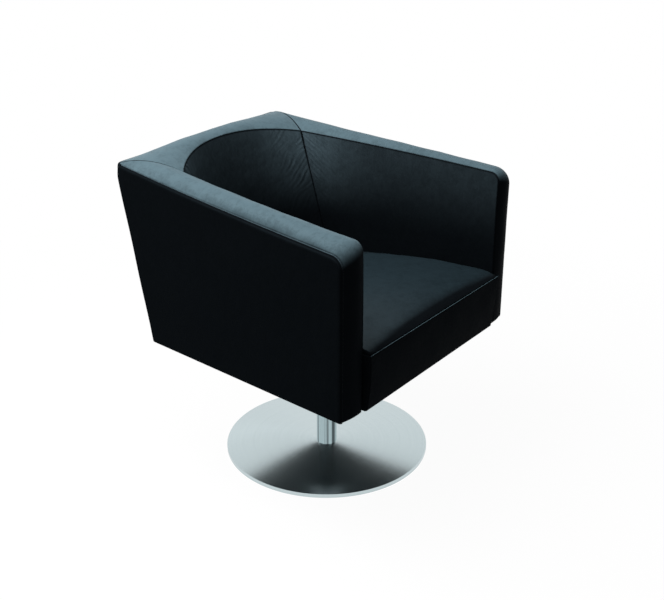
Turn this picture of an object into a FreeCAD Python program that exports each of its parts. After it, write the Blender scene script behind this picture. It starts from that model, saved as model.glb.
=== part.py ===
import FreeCAD, Part
import math
import os

V = FreeCAD.Vector

# Pedestal swivel armchair. Millimetres, +Z up, front towards -Y, left arm at -X.
# The origin is the centre of the disc foot's underside, on the swivel axis.

# Foot
DISC_RADIUS = 250.0
DISC_HEIGHT = 10.0
DISC_SHEET = 2.0
DISC_RIM_EASE = 1.6
DISC_SKIRT_Z = 1.5
PAD_RADIUS = 236.0
PAD_HEIGHT = 2.2
BALLAST_RADIUS = 247.4
POST_RADIUS = 25.0
POST_WALL = 2.0
POST_TOP = 294.0
PLUG_HEIGHT = 26.0
FOOT_BOLT_RADIUS = 6.0
FOOT_BOLT_HEAD_RADIUS = 11.5
FOOT_BOLT_HEAD = 5.5
FOOT_BOLT_LENGTH = 30.0
FOOT_BOLT_CLEARANCE = 0.5

# Swivel
SPINDLE_RADIUS = 12.5
RUNNING_CLEARANCE = 0.06
FIT_GAP = 0.03
BUSH_FLANGE_RADIUS = 24.6
BUSH_FLANGE = 3.0
UPPER_BUSH_LENGTH = 38.0
LOWER_BUSH_Z = 168.0
LOWER_BUSH_LENGTH = 34.0
HUB_RADIUS = 22.0
SPINDLE_FLANGE_RADIUS = 42.0
SPINDLE_FLANGE = 6.0
SPINDLE_END_Z = 146.0
GROOVE_Z = 160.0
GROOVE_DEPTH = 1.2
RING_THICKNESS = 1.5
RING_WIDTH = 4.35
RING_PLAY = 0.1
RING_SEAT_GAP = 0.05
RING_OPENING = 5.0

# Seat shell, outside
UNDERSIDE_Z = 310.0
FRONT_Y = -303.0
FRONT_HALF = 338.0
REAR_HALF = 284.0
REAR_FOOT_Y = 298.0
REAR_SEAM_Z = 732.0
BACK_LEAN = 0.22
PANEL = 9.0
SHOULDER_INSET = 3.5
SHOULDER_DROP = 9.0
REAR_CORNER_RADIUS = 8.0
SHOULDER_ROLL = (0.2, 0.6)

# Seat shell, inside
INNER_FRONT_HALF = 269.0
INNER_REAR_HALF = 212.0
INNER_CORNER_Y = 240.0
INNER_BOW = 9.0
BACK_CURVE_RADIUS = 315.0
INNER_PAD = 22.0
INNER_CROWN = 3.0
INNER_BOTTOM_Z = 352.0
PAD_OVERLAP = 12.0
CORNER_AHEAD = 50.0
CORNER_STEPS = 12

# Rim: the band between the outer and inner seams
OUTER_SEAM_FRONT_Z = 678.0
OUTER_SEAM_SAG = 5.0
OUTER_SEAM_FRONT_Y = -290.0
OUTER_SEAM_RADIUS = 28.0
INNER_SEAM_FRONT_Z = 696.5
INNER_SEAM_CORNER_Z = 719.5
INNER_SEAM_BACK_Z = 740.0
INNER_SEAM_FRONT_Y = -297.0
INNER_SEAM_RADIUS = 22.0
RIM_DEPTH = 9.0
RIM_FALL = 10.0
RIM_CROWN_SLOPE = 0.21
RIM_CROWN_MOST = 16.0
FRONT_CROWN = 9.5
RUN_STATIONS = 8
TURN_STATIONS = 4
BACK_STATIONS = 30
JOINT_GAP = 0.3
GUTTER_REACH = 4.0

# Timber and seat
BACK_FRAME = 20.0
RAIL = 45.0
FRAME_STATIONS = 6
FRAME_CLEARANCE = 1.0
FRAME_NOSE = 12.0
ARM_WINDOWS = 2
BOARD_Z = 318.0
BOARD = 18.0
FRAME_HEIGHT = 40.0
SEAT_RAIL = 32.0
SEAT_FRAME_FRONT_Y = -284.0
SEAT_FRAME_REAR_Y = 145.0
SEAT_FRAME_MARGIN = 6.0
PLATE_STATIONS = 4
STRAP_WIDTH = 50.0
STRAP = 2.0
STRAP_PITCH = 80.0
STRAP_FIRST = 60.0
STRAP_MARGIN = 8.0
LONG_STRAPS = 5
CROSS_STRAPS = 4
DUST_COVER = 0.8
DUST_COVER_LAP = 10.0
DUST_COVER_MARGIN = 2.0
DUST_COVER_HOLE = 45.0
PLATE = 4.0
PLATE_X = 220.0
PLATE_Y = 180.0
PLATE_CORNER = 12.0
SCREW_X = 180.0
SCREW_Y = 140.0
SCREW_RADIUS = 4.0
SCREW_LENGTH = 19.0
SCREW_HEAD_RADIUS = 6.5
SCREW_HEAD = 2.6

# Seat cushion
SEAM_Y = -315.0
SEAM_Z = 447.0
SEAM_HALF = 266.5
FRONT_FOOT_Y = -304.0
FRONT_FOOT_Z = 312.0
FRONT_FOOT_HALF = 264.0
FRONT_WAIST_HALF = 263.0
FRONT_BELLY = 2.5
FRONT_PAD = 18.0
CUSHION_BOTTOM_Z = 382.0
CUSHION_GAP = 1.5
CUSHION_TUCK = 3.0
CUSHION_LENGTH = 570.0
CUSHION_STATIONS = 17
SEAM_SWELL = 12.5
SEAM_SWELL_LENGTH = 25.0
SEAM_CROWN = 1.0
REAR_FALL = 37.0
FALL_START = 90.0
FALL_POWER = 1.35
CROWN_FADE = 10.0
CROWN_FADE_START = 230.0
BACK_WRAP = math.radians(50)
SEAT_RISE = 60.0

FAR = 1000.0


def line(a, b):
    return Part.LineSegment(a, b).toShape()


def arc(a, middle, b):
    return Part.Arc(a, middle, b).toShape()


def polygon(points):
    """Flat face with straight sides through the points."""
    return Part.Face(Part.makePolygon(points + points[:1]))


def prism(points, way):
    return polygon(points).extrude(way)


def cylinder(radius, z, height, x=0.0, y=0.0):
    return Part.makeCylinder(radius, height, V(x, y, z))


def turned(profile):
    """Solid of revolution about Z from (radius, z) points."""
    face = polygon([V(r, 0, z) for r, z in profile])
    return face.revolve(V(0, 0, 0), V(0, 0, 1), 360)


def ring(outer, inner, z, height):
    return cylinder(outer, z, height).cut(cylinder(inner, z, height))


def mirrored(shape):
    return shape.mirror(V(0, 0, 0), V(1, 0, 0))


def sagged(a, b, sag, s):
    """Value at s between a and b on a curve that stands sag off the chord."""
    return a + (b - a) * s + 4 * sag * s * (1 - s)


def rear_y(z):
    """Outside of the back at a height."""
    return REAR_FOOT_Y + BACK_LEAN * (z - UNDERSIDE_Z)


REAR_TOP_Y = rear_y(REAR_SEAM_Z)
REAR_SEAM_Y = REAR_TOP_Y - SHOULDER_INSET


def outer_half(y):
    """Half of the outside width: the plan tapers to the rear."""
    s = (y - FRONT_Y) / (REAR_TOP_Y - FRONT_Y)
    return FRONT_HALF + (REAR_HALF - FRONT_HALF) * s


def inner_half(y):
    """Half of the width between the arms, a little wider midway."""
    s = (y - INNER_SEAM_FRONT_Y) / (INNER_CORNER_Y - INNER_SEAM_FRONT_Y)
    return sagged(INNER_FRONT_HALF, INNER_REAR_HALF, INNER_BOW, s)


def outer_seam_z(y):
    s = (y - OUTER_SEAM_FRONT_Y) / (REAR_SEAM_Y - OUTER_SEAM_FRONT_Y)
    return sagged(OUTER_SEAM_FRONT_Z, REAR_SEAM_Z, -OUTER_SEAM_SAG, s)


def inner_seam_z(y):
    s = (y - INNER_SEAM_FRONT_Y) / (INNER_CORNER_Y - INNER_SEAM_FRONT_Y)
    return sagged(INNER_SEAM_FRONT_Z, INNER_SEAM_CORNER_Z, 0, s)


CORNER_ANGLE = math.asin(INNER_REAR_HALF / BACK_CURVE_RADIUS)
BACK_CENTRE_Y = INNER_CORNER_Y - BACK_CURVE_RADIUS * math.cos(CORNER_ANGLE)


def back_curve(angle):
    """Point on the back's inner seam, by its angle from the middle."""
    x = BACK_CURVE_RADIUS * math.sin(angle)
    y = BACK_CENTRE_Y + BACK_CURVE_RADIUS * math.cos(angle)
    rise = 1 - (angle / CORNER_ANGLE) ** 2
    z = INNER_SEAM_CORNER_Z + (INNER_SEAM_BACK_Z - INNER_SEAM_CORNER_Z) * rise
    return V(x, y, z)


def top_crown(outer, inner):
    return min(RIM_CROWN_SLOPE * outer.distanceToPoint(inner), RIM_CROWN_MOST)


def mitre_step(outer, inner, square):
    """Step along a section that is as wide across the band as the band is deep."""
    along = (inner - outer).normalize()
    return along * (RIM_DEPTH / abs(along.dot(square)))


def rim_section(outer, inner, way, square, crown):
    """Closed section of the band: a crowned arc between the two seams, mitred underneath."""
    inward = mitre_step(outer, inner, square)
    top = (outer + inner) * 0.5 + way * crown
    low_outer = outer + inward - way * RIM_DEPTH
    low_inner = inner - inward - way * RIM_DEPTH
    edges = [arc(outer, top, inner), line(inner, low_inner), line(low_inner, low_outer)]
    return Part.Wire(edges + [line(low_outer, outer)])


def gutter_section(outer, inner, way, square, crown):
    """Room for the band: its two mitres carried on outwards, a joint's gap away from it."""
    inward = mitre_step(outer, inner, square)
    depth = way * (RIM_DEPTH + JOINT_GAP)
    reach = way * (GUTTER_REACH * RIM_DEPTH - JOINT_GAP)
    low_outer = outer + inward - depth
    low_inner = inner - inward - depth
    high_outer = outer - inward * GUTTER_REACH + reach
    high_inner = inner + inward * GUTTER_REACH + reach
    return Part.makePolygon([high_outer, high_inner, low_inner, low_outer, high_outer])


def side_stations():
    """Seam pairs of the right band: over the arm, round the front corner, down to the foot."""
    up = V(0, 0, 1)
    across = V(1, 0, 0)
    outer_turn_y = OUTER_SEAM_FRONT_Y + OUTER_SEAM_RADIUS
    inner_turn_y = INNER_SEAM_FRONT_Y + INNER_SEAM_RADIUS
    run = []
    for i in range(RUN_STATIONS + 1):
        s = i / RUN_STATIONS
        y_out = REAR_SEAM_Y + (outer_turn_y - REAR_SEAM_Y) * s
        y_in = INNER_CORNER_Y + (inner_turn_y - INNER_CORNER_Y) * s
        outer = V(outer_half(y_out) - SHOULDER_INSET, y_out, outer_seam_z(y_out))
        inner = V(inner_half(y_in), y_in, inner_seam_z(y_in))
        run.append((outer, inner, up, across, top_crown(outer, inner)))
    crown_start = top_crown(outer, inner)
    outer_turn_z = outer.z - OUTER_SEAM_RADIUS
    inner_turn_z = inner.z - INNER_SEAM_RADIUS
    turn = [run[-1]]
    for i in range(1, TURN_STATIONS + 1):
        angle = math.radians(90) * i / TURN_STATIONS
        way = V(0, -math.sin(angle), math.cos(angle))
        y_out = outer_turn_y + OUTER_SEAM_RADIUS * way.y
        y_in = inner_turn_y + INNER_SEAM_RADIUS * way.y
        z_out = outer_turn_z + OUTER_SEAM_RADIUS * way.z
        outer = V(outer_half(y_out) - SHOULDER_INSET, y_out, z_out)
        inner = V(inner_half(y_in), y_in, inner_turn_z + INNER_SEAM_RADIUS * way.z)
        crown = crown_start + (FRONT_CROWN - crown_start) * i / TURN_STATIONS
        turn.append((outer, inner, way, across, crown))
    foot_outer = V(outer.x, outer.y, UNDERSIDE_Z)
    foot_inner = V(inner.x, inner.y, UNDERSIDE_Z)
    drop = [turn[-1], (foot_outer, foot_inner, way, across, FRONT_CROWN)]
    return [run, turn, drop]


def back_stations():
    """Seam pairs of the back's band between the two rear mitres."""
    half = outer_half(REAR_SEAM_Y) - SHOULDER_INSET
    stations = []
    for i in range(BACK_STATIONS + 1):
        s = 2 * i / BACK_STATIONS - 1
        outer = V(half * s, REAR_SEAM_Y, REAR_SEAM_Z)
        inner = back_curve(CORNER_ANGLE * s)
        stations.append((outer, inner, V(0, 0, 1), V(0, 1, 0), top_crown(outer, inner)))
    return [stations]


def band(stretches, section):
    """Loft every stretch of stations through its sections and join the stretches."""
    whole = None
    for stations in stretches:
        piece = Part.makeLoft([section(*station) for station in stations], True, True)
        whole = whole.fuse(piece) if whole else piece
    return whole


def gutter():
    """Room for all three bands, cut out of the panels below them."""
    right = band(side_stations(), gutter_section)
    back = band(back_stations(), gutter_section)
    return back.fuse([right, mirrored(right)])


def behind(gap):
    """Everything behind a plane that leans with the back, gap in front of the back's outside."""
    low = rear_y(0) - gap
    high = rear_y(FAR) - gap
    points = [V(-FAR, low, 0), V(-FAR, high, FAR), V(-FAR, 2 * FAR, FAR), V(-FAR, 2 * FAR, 0)]
    return prism(points, V(2 * FAR, 0, 0))


def side_outline(inset, depth):
    """Outline of the right side panel, inset from the seam, at a depth under the outside."""
    front = OUTER_SEAM_FRONT_Y + inset
    turn = OUTER_SEAM_FRONT_Y + OUTER_SEAM_RADIUS
    radius = OUTER_SEAM_RADIUS - inset
    nip = radius * math.sqrt(0.5)
    turn_z = outer_seam_z(turn) - OUTER_SEAM_RADIUS
    middle = (turn + REAR_TOP_Y) / 2

    def at(y, z):
        return V(outer_half(y) - depth, y, z)

    foot = at(front, UNDERSIDE_Z)
    corner_low = at(front, turn_z)
    corner_high = at(turn, turn_z + radius)
    rear_high = at(REAR_TOP_Y, outer_seam_z(REAR_TOP_Y) - inset)
    rear_foot = at(REAR_TOP_Y, UNDERSIDE_Z)
    edges = [line(foot, corner_low), arc(corner_low, at(turn - nip, turn_z + nip), corner_high)]
    edges += [arc(corner_high, at(middle, outer_seam_z(middle) - inset), rear_high)]
    return Part.Wire(edges + [line(rear_high, rear_foot), line(rear_foot, foot)])


def side_panel():
    """Right outer panel: its edge rolls in to the seam and is mitred behind it."""
    quarter = SHOULDER_INSET * (1 - math.sqrt(0.5))
    drop = SHOULDER_DROP * (1 - math.sqrt(0.5))
    outside = side_outline(SHOULDER_DROP, 0)
    rolled = side_outline(drop, quarter)
    seam = side_outline(JOINT_GAP, SHOULDER_INSET)
    inside = side_outline(3 * JOINT_GAP + PANEL - SHOULDER_INSET, PANEL)
    shoulder = Part.makeLoft([outside, rolled, seam], True, True)
    panel = Part.makeLoft([seam, inside], True, True).fuse(shoulder)
    return panel.cut(behind(PANEL + JOINT_GAP))


def rear_panel(room):
    """Outer back panel, the full width of the back, leaning, rolled in under the seam."""
    foot = V(0, rear_y(UNDERSIDE_Z), UNDERSIDE_Z)
    shoulder_z = REAR_SEAM_Z - SHOULDER_DROP
    shoulder = V(0, rear_y(shoulder_z), shoulder_z)
    seam = V(0, REAR_SEAM_Y, REAR_SEAM_Z)
    out, up = SHOULDER_ROLL
    roll = V(0, shoulder.y + (REAR_TOP_Y - shoulder.y) * out, shoulder_z + SHOULDER_DROP * up)
    inside_top = V(0, rear_y(REAR_SEAM_Z) - PANEL, REAR_SEAM_Z)
    inside_foot = foot - V(0, PANEL, 0)
    edges = [line(foot, shoulder), arc(shoulder, roll, seam), line(seam, inside_top)]
    edges += [line(inside_top, inside_foot), line(inside_foot, foot)]
    panel = Part.Face(Part.Wire(edges)).extrude(V(2 * FRONT_HALF, 0, 0))
    panel.translate(V(-FRONT_HALF, 0, 0))
    plan = [V(outer_half(y) * side, y, 0) for side, y in ((-1, 0), (1, 0), (1, FAR), (-1, FAR))]
    panel = panel.common(prism(plan, V(0, 0, FAR)))
    corners = [edge for edge in panel.Edges if is_rear_corner(edge)]
    return panel.makeFillet(REAR_CORNER_RADIUS, corners).cut(room)


def is_rear_corner(edge):
    """True for the two long edges where the leaning outside of the back meets the sides."""
    middle = edge.CenterOfMass
    upright = edge.BoundBox.ZLength > REAR_SEAM_Z / 2
    return upright and abs(middle.x) > REAR_HALF / 2 and middle.y > rear_y(middle.z) - PANEL / 2


def leaning_arc():
    """Depth and radius of the back's curved face in plan."""
    seam_rise = INNER_SEAM_BACK_Z - INNER_SEAM_CORNER_Z
    depth = back_curve(0).y - BACK_LEAN * seam_rise - INNER_CORNER_Y
    return depth, (INNER_REAR_HALF ** 2 + depth ** 2) / (2 * depth)


def back_face(angle, z, forward=0.0):
    """Point on the back's curved face, by its angle from the middle and its height."""
    depth, radius = leaning_arc()
    centre_y = INNER_CORNER_Y + depth - radius - forward + BACK_LEAN * (z - INNER_SEAM_CORNER_Z)
    return V(radius * math.sin(angle), centre_y + radius * math.cos(angle), z)


def corner_angle(z):
    """Angle at which the back's face meets the right arm's inner face."""
    depth, radius = leaning_arc()
    angle = CORNER_ANGLE
    for _ in range(CORNER_STEPS):
        angle = math.asin(inner_half(back_face(angle, z).y) / radius)
    return angle


def back_section(s):
    """Foot and seam of the back pad's face, at a share s of its half width, and the way between."""
    foot = back_face(corner_angle(INNER_BOTTOM_Z) * s, INNER_BOTTOM_Z)
    seam = back_curve(CORNER_ANGLE * s)
    return foot, seam, (seam - foot).normalize()


def inner_back():
    """Inner back pad: curved in plan, leaning with the back, mitred under its band."""
    sections = []
    for i in range(BACK_STATIONS + 1):
        s = 2 * i / BACK_STATIONS - 1
        foot, seam, rise = back_section(s)
        head = seam - rise * JOINT_GAP
        inward = V(0, RIM_DEPTH / math.cos(CORNER_ANGLE * s), 0)
        under = seam + inward - rise * (RIM_DEPTH + 2 * JOINT_GAP)
        top = under - rise * RIM_FALL
        rear = []
        for point in (top, foot):
            rear.append(V(point.x, rear_y(point.z) - PANEL - BACK_FRAME - 2 * JOINT_GAP, point.z))
        sections.append(Part.makePolygon([foot, head, under] + rear + [foot]))
    return Part.makeLoft(sections, True, True)


def back_corner():
    """Everything on the back pad's side of the right corner seam."""
    foot, seam, rise = back_section(1)
    low = foot - rise * CORNER_AHEAD - V(0, CORNER_AHEAD, 0)
    high = seam + rise * CORNER_AHEAD - V(0, CORNER_AHEAD, 0)
    past = V(0, FAR, 0)
    return prism([low, high, high + past, low + past], V(-FAR, 0, 0))


def inner_panel(room):
    """Right arm's inner pad: a slab with a soft crown towards the seat."""
    sections = []
    first = INNER_SEAM_FRONT_Y - PAD_OVERLAP
    for i in range(RUN_STATIONS + 1):
        y = first + (REAR_TOP_Y - first) * i / RUN_STATIONS
        x = inner_half(y)
        seam = V(x, y, inner_seam_z(y))
        foot = V(x, y, INNER_BOTTOM_Z)
        belly = (foot + seam) * 0.5 - V(INNER_CROWN, 0, 0)
        over = seam + V(0, 0, PAD_OVERLAP)
        over_back = over + V(INNER_PAD, 0, 0)
        foot_back = foot + V(INNER_PAD, 0, 0)
        edges = [arc(foot, belly, seam), line(seam, over), line(over, over_back)]
        sections.append(Part.Wire(edges + [line(over_back, foot_back), line(foot_back, foot)]))
    panel = Part.makeLoft(sections, True, True)
    return panel.cut(behind(PANEL + BACK_FRAME + 2 * JOINT_GAP)).cut(back_corner()).cut(room)


def arm_frame():
    """Right arm's timber frame: a ladder between the outer and inner panels."""
    low = UNDERSIDE_Z + 2 * DUST_COVER + JOINT_GAP
    front = OUTER_SEAM_FRONT_Y + RIM_DEPTH
    stations = [front + (REAR_TOP_Y - front) * i / FRAME_STATIONS for i in range(FRAME_STATIONS + 1)]
    outside = [V(outer_half(y) - PANEL - JOINT_GAP, y, low) for y in stations]
    inside = [V(inner_half(y) + INNER_PAD + 3 * JOINT_GAP, y, low) for y in reversed(stations)]
    frame = prism(outside + inside, V(0, 0, FAR))
    clearance = RIM_DEPTH + OUTER_SEAM_SAG + FRAME_CLEARANCE
    front_top = outer_seam_z(front) - clearance
    rear_top = REAR_SEAM_Z - clearance
    above = [V(0, front, front_top - FRAME_NOSE), V(0, front + FRAME_NOSE, front_top)]
    above += [V(0, REAR_TOP_Y, rear_top), V(0, REAR_TOP_Y, 2 * FAR)]
    above += [V(0, -FAR, 2 * FAR), V(0, -FAR, front_top - FRAME_NOSE)]
    frame = frame.cut(prism(above, V(FAR, 0, 0))).cut(behind(PANEL + JOINT_GAP))
    first = front + RAIL
    last = rear_y(low) - PANEL - RAIL
    pitch = (last - first + RAIL) / ARM_WINDOWS
    for i in range(ARM_WINDOWS):
        y = first + pitch * i
        window = Part.makeBox(FAR, pitch - RAIL, front_top - low - 2 * RAIL, V(0, y, low + RAIL))
        frame = frame.cut(window)
    return frame


def back_frame():
    """Timber frame of the back: two posts and two rails, leaning with it."""
    low = UNDERSIDE_Z + 2 * DUST_COVER + JOINT_GAP
    top = REAR_SEAM_Z - RIM_DEPTH - FRAME_CLEARANCE
    rear = rear_y(low) - PANEL - JOINT_GAP
    half = inner_half(REAR_TOP_Y) + INNER_PAD
    way = V(0, BACK_LEAN * (top - low), top - low)
    points = [V(x, y, low) for x, y in ((-half, rear), (half, rear), (half, rear - BACK_FRAME))]
    frame = prism(points + [V(-half, rear - BACK_FRAME, low)], way)
    corner = V(-half + RAIL, 0, low + RAIL)
    return frame.cut(Part.makeBox(2 * (half - RAIL), FAR, top - low - 2 * RAIL, corner))


def tapered_plate(front, rear, margin, z, thickness):
    """Board between the arms, its sides a margin outside the inner faces."""
    stations = [front + (rear - front) * i / PLATE_STATIONS for i in range(PLATE_STATIONS + 1)]
    right = [V(inner_half(y) + margin, y, z) for y in stations]
    left = [V(-p.x, p.y, z) for p in reversed(right)]
    return prism(right + left, V(0, 0, thickness))


def seat_board():
    rear = rear_y(BOARD_Z) - PANEL - BACK_FRAME - 2 * JOINT_GAP
    board = tapered_plate(SEAT_FRAME_FRONT_Y, rear, INNER_PAD, BOARD_Z, BOARD)
    for x, y in screw_places():
        board = board.cut(cylinder(SCREW_RADIUS + FIT_GAP, BOARD_Z, SCREW_LENGTH - PLATE, x, y))
    return board


def screw_places():
    return [(sx * SCREW_X / 2, sy * SCREW_Y / 2) for sx in (-1, 1) for sy in (-1, 1)]


def seat_frame():
    z = BOARD_Z + BOARD
    front = SEAT_FRAME_FRONT_Y
    rear = SEAT_FRAME_REAR_Y
    inset = -SEAT_FRAME_MARGIN
    outer = tapered_plate(front, rear, inset, z, FRAME_HEIGHT)
    return outer.cut(tapered_plate(front + SEAT_RAIL, rear - SEAT_RAIL, inset - SEAT_RAIL, z, FRAME_HEIGHT))


def webbing():
    """Elastic straps: one layer front to back, one layer across on top of it."""
    z = BOARD_Z + BOARD + FRAME_HEIGHT + JOINT_GAP
    depth = SEAT_FRAME_REAR_Y - SEAT_FRAME_FRONT_Y - 2 * STRAP_MARGIN
    straps = []
    for i in range(LONG_STRAPS):
        x = (i - (LONG_STRAPS - 1) / 2) * STRAP_PITCH - STRAP_WIDTH / 2
        place = V(x, SEAT_FRAME_FRONT_Y + STRAP_MARGIN, z)
        straps.append(Part.makeBox(STRAP_WIDTH, depth, STRAP, place))
    for i in range(CROSS_STRAPS):
        y = SEAT_FRAME_FRONT_Y + STRAP_FIRST + i * depth / CROSS_STRAPS
        half = inner_half(y + STRAP_WIDTH) - SEAT_FRAME_MARGIN - STRAP_MARGIN
        place = V(-half, y, z + STRAP + JOINT_GAP)
        straps.append(Part.makeBox(2 * half, STRAP_WIDTH, STRAP, place))
    return Part.makeCompound(straps)


def dust_cover():
    """Cloth under the seat, with a hole for the spindle's flange."""
    front = SEAT_FRAME_FRONT_Y
    rear = rear_y(UNDERSIDE_Z) - PANEL - DUST_COVER_MARGIN
    cloth = tapered_plate(front, rear, INNER_PAD + DUST_COVER_LAP, UNDERSIDE_Z + JOINT_GAP, DUST_COVER)
    return cloth.cut(cylinder(DUST_COVER_HOLE, UNDERSIDE_Z, BOARD_Z - UNDERSIDE_Z))


def mounting_plate():
    z = BOARD_Z - PLATE
    plate = Part.makeBox(PLATE_X, PLATE_Y, PLATE, V(-PLATE_X / 2, -PLATE_Y / 2, z))
    upright = [edge for edge in plate.Edges if edge.BoundBox.ZLength > PLATE / 2]
    plate = plate.makeChamfer(PLATE_CORNER, upright)
    for x, y in screw_places():
        plate = plate.cut(cylinder(SCREW_RADIUS + FIT_GAP, z, PLATE, x, y))
    return plate


def plate_screws():
    """Four hexagon-headed screws up through the plate into the board."""
    screws = []
    for x, y in screw_places():
        z = BOARD_Z - PLATE
        head = prism(hexagon(x, y, SCREW_HEAD_RADIUS, z - SCREW_HEAD), V(0, 0, SCREW_HEAD))
        screws.append(head.fuse(cylinder(SCREW_RADIUS, z, SCREW_LENGTH, x, y)))
    return Part.makeCompound(screws)


def hexagon(x, y, radius, z):
    turns = [math.radians(60) * i for i in range(6)]
    return [V(x + radius * math.cos(t), y + radius * math.sin(t), z) for t in turns]


def front_tool():
    """Everything in front of the seat front panel's inner mitre."""
    points = [V(-FAR, -FAR, FRONT_FOOT_Z), V(-FAR, -FAR, SEAM_Z), V(-FAR, SEAM_Y, SEAM_Z)]
    points.append(V(-FAR, SEAM_Y + FRONT_PAD, SEAM_Z - FRONT_PAD))
    points.append(V(-FAR, FRONT_FOOT_Y + FRONT_PAD, FRONT_FOOT_Z))
    return prism(points, V(2 * FAR, 0, 0))


def seat_front_panel():
    """Boxed front of the seat: leans out to the seam, its sides drawn in towards the foot."""
    top = V(0, SEAM_Y, SEAM_Z)
    foot = V(0, FRONT_FOOT_Y, FRONT_FOOT_Z)
    belly = (top + foot) * 0.5 + V(0, -FRONT_BELLY, 0)
    foot_back = foot + V(0, FRONT_PAD, 0)
    tucked = top + V(0, FRONT_PAD, -FRONT_PAD)
    edges = [arc(top, belly, foot), line(foot, foot_back), line(foot_back, tucked), line(tucked, top)]
    panel = Part.Face(Part.Wire(edges)).extrude(V(2 * INNER_FRONT_HALF, 0, 0))
    panel.translate(V(-INNER_FRONT_HALF, 0, 0))
    return panel.common(Part.Face(front_outline()).extrude(V(0, FAR, 0)))


def front_outline():
    """Outline of the seat front seen from the front: its sides are shallow arcs."""
    middle_z = (SEAM_Z + FRONT_FOOT_Z) / 2
    shape = [(SEAM_HALF, SEAM_Z), (FRONT_WAIST_HALF, middle_z), (FRONT_FOOT_HALF, FRONT_FOOT_Z)]
    right = [V(x, -FAR, z) for x, z in shape]
    left = [V(-x, -FAR, z) for x, z in shape]
    return Part.Wire([arc(*right), line(right[2], left[2]), arc(*reversed(left)), line(left[0], right[0])])


def seat_profile(back):
    """Height of the seat's sides over its seam and of its crown over them, by the way back."""
    swell = SEAM_SWELL * (1 - math.exp(-back / SEAM_SWELL_LENGTH))
    fall = max(back - FALL_START, 0) / (CUSHION_LENGTH - FALL_START)
    fade = max(back - CROWN_FADE_START, 0) / (CUSHION_LENGTH - CROWN_FADE_START)
    return swell - REAR_FALL * fall ** FALL_POWER, SEAM_CROWN + swell - CROWN_FADE * fade ** 2


def seat_cushion():
    """Seat cushion: a crowned loft that falls to the rear, its sides drawn in under the top."""
    sections = []
    for i in range(CUSHION_STATIONS + 1):
        back = CUSHION_LENGTH * (i / CUSHION_STATIONS) ** 2
        side_rise, crown = seat_profile(back)
        y = SEAM_Y + back
        half = inner_half(max(y, INNER_SEAM_FRONT_Y)) - CUSHION_GAP - INNER_CROWN
        edge_z = SEAM_Z + side_rise
        left = V(-half, y, edge_z)
        right = V(half, y, edge_z)
        middle = V(0, y, edge_z + crown)
        low_left = V(-half + CUSHION_TUCK, y, CUSHION_BOTTOM_Z)
        low_right = V(half - CUSHION_TUCK, y, CUSHION_BOTTOM_Z)
        edges = [arc(left, middle, right), line(right, low_right), line(low_right, low_left)]
        sections.append(Part.Wire(edges + [line(low_left, left)]))
    return Part.makeLoft(sections, True, True).cut(front_tool()).cut(behind_the_seat())


def behind_the_seat():
    """Everything behind the cushion: the back's curved face, a gap in front of it."""
    sections = []
    for z in (INNER_BOTTOM_Z, SEAM_Z + SEAT_RISE):
        left, middle, right = [back_face(angle, z, CUSHION_GAP) for angle in (-BACK_WRAP, 0, BACK_WRAP)]
        rear_left = V(left.x, FAR, z)
        rear_right = V(right.x, FAR, z)
        edges = [arc(left, middle, right), line(right, rear_right), line(rear_right, rear_left)]
        sections.append(Part.Wire(edges + [line(rear_left, left)]))
    return Part.makeLoft(sections, True, True)


def base_cover():
    """Disc cover: a thin sheet with an eased rim and a short skirt."""
    r = DISC_RADIUS
    e = DISC_RIM_EASE
    t = DISC_SHEET
    top = DISC_HEIGHT
    hole = FOOT_BOLT_RADIUS + FOOT_BOLT_CLEARANCE
    outside = [(hole, top), (r - e, top), (r, top - e), (r, DISC_SKIRT_Z)]
    inside = [(r - t, DISC_SKIRT_Z), (r - t, top - t), (hole, top - t)]
    return turned(outside + inside)


def ballast_plate():
    """Heavy disc under the cover, countersunk for the foot bolt."""
    bottom = PAD_HEIGHT
    top = DISC_HEIGHT - DISC_SHEET
    hole = FOOT_BOLT_RADIUS + FOOT_BOLT_CLEARANCE
    sink = FOOT_BOLT_HEAD_RADIUS + FOOT_BOLT_CLEARANCE
    r = BALLAST_RADIUS
    return turned([(sink, bottom), (r, bottom), (r, top), (hole, top), (hole, bottom + FOOT_BOLT_HEAD)])


def floor_pad():
    return cylinder(PAD_RADIUS, 0, PAD_HEIGHT)


def foot_bolt():
    """Countersunk bolt up through the ballast and the cover into the post's plug."""
    z = PAD_HEIGHT
    head = FOOT_BOLT_HEAD_RADIUS
    r = FOOT_BOLT_RADIUS
    end = z + FOOT_BOLT_LENGTH
    return turned([(0, z), (head, z), (r, z + FOOT_BOLT_HEAD), (r, end), (0, end)])


def post_tube():
    return ring(POST_RADIUS, POST_RADIUS - POST_WALL, DISC_HEIGHT, POST_TOP - DISC_HEIGHT)


def post_plug():
    """Threaded plug in the tube's foot."""
    return ring(POST_RADIUS - POST_WALL - FIT_GAP, FOOT_BOLT_RADIUS + FIT_GAP, DISC_HEIGHT, PLUG_HEIGHT)


def upper_bush():
    """Bush in the tube's mouth; the seat's weight turns on its flange."""
    bore = SPINDLE_RADIUS + RUNNING_CLEARANCE
    outer = POST_RADIUS - POST_WALL - FIT_GAP
    low = POST_TOP - UPPER_BUSH_LENGTH
    high = POST_TOP + BUSH_FLANGE
    profile = [(bore, low), (outer, low), (outer, POST_TOP), (BUSH_FLANGE_RADIUS, POST_TOP)]
    return turned(profile + [(BUSH_FLANGE_RADIUS, high), (bore, high)])


def lower_bush():
    bore = SPINDLE_RADIUS + RUNNING_CLEARANCE
    return ring(POST_RADIUS - POST_WALL - FIT_GAP, bore, LOWER_BUSH_Z, LOWER_BUSH_LENGTH)


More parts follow.
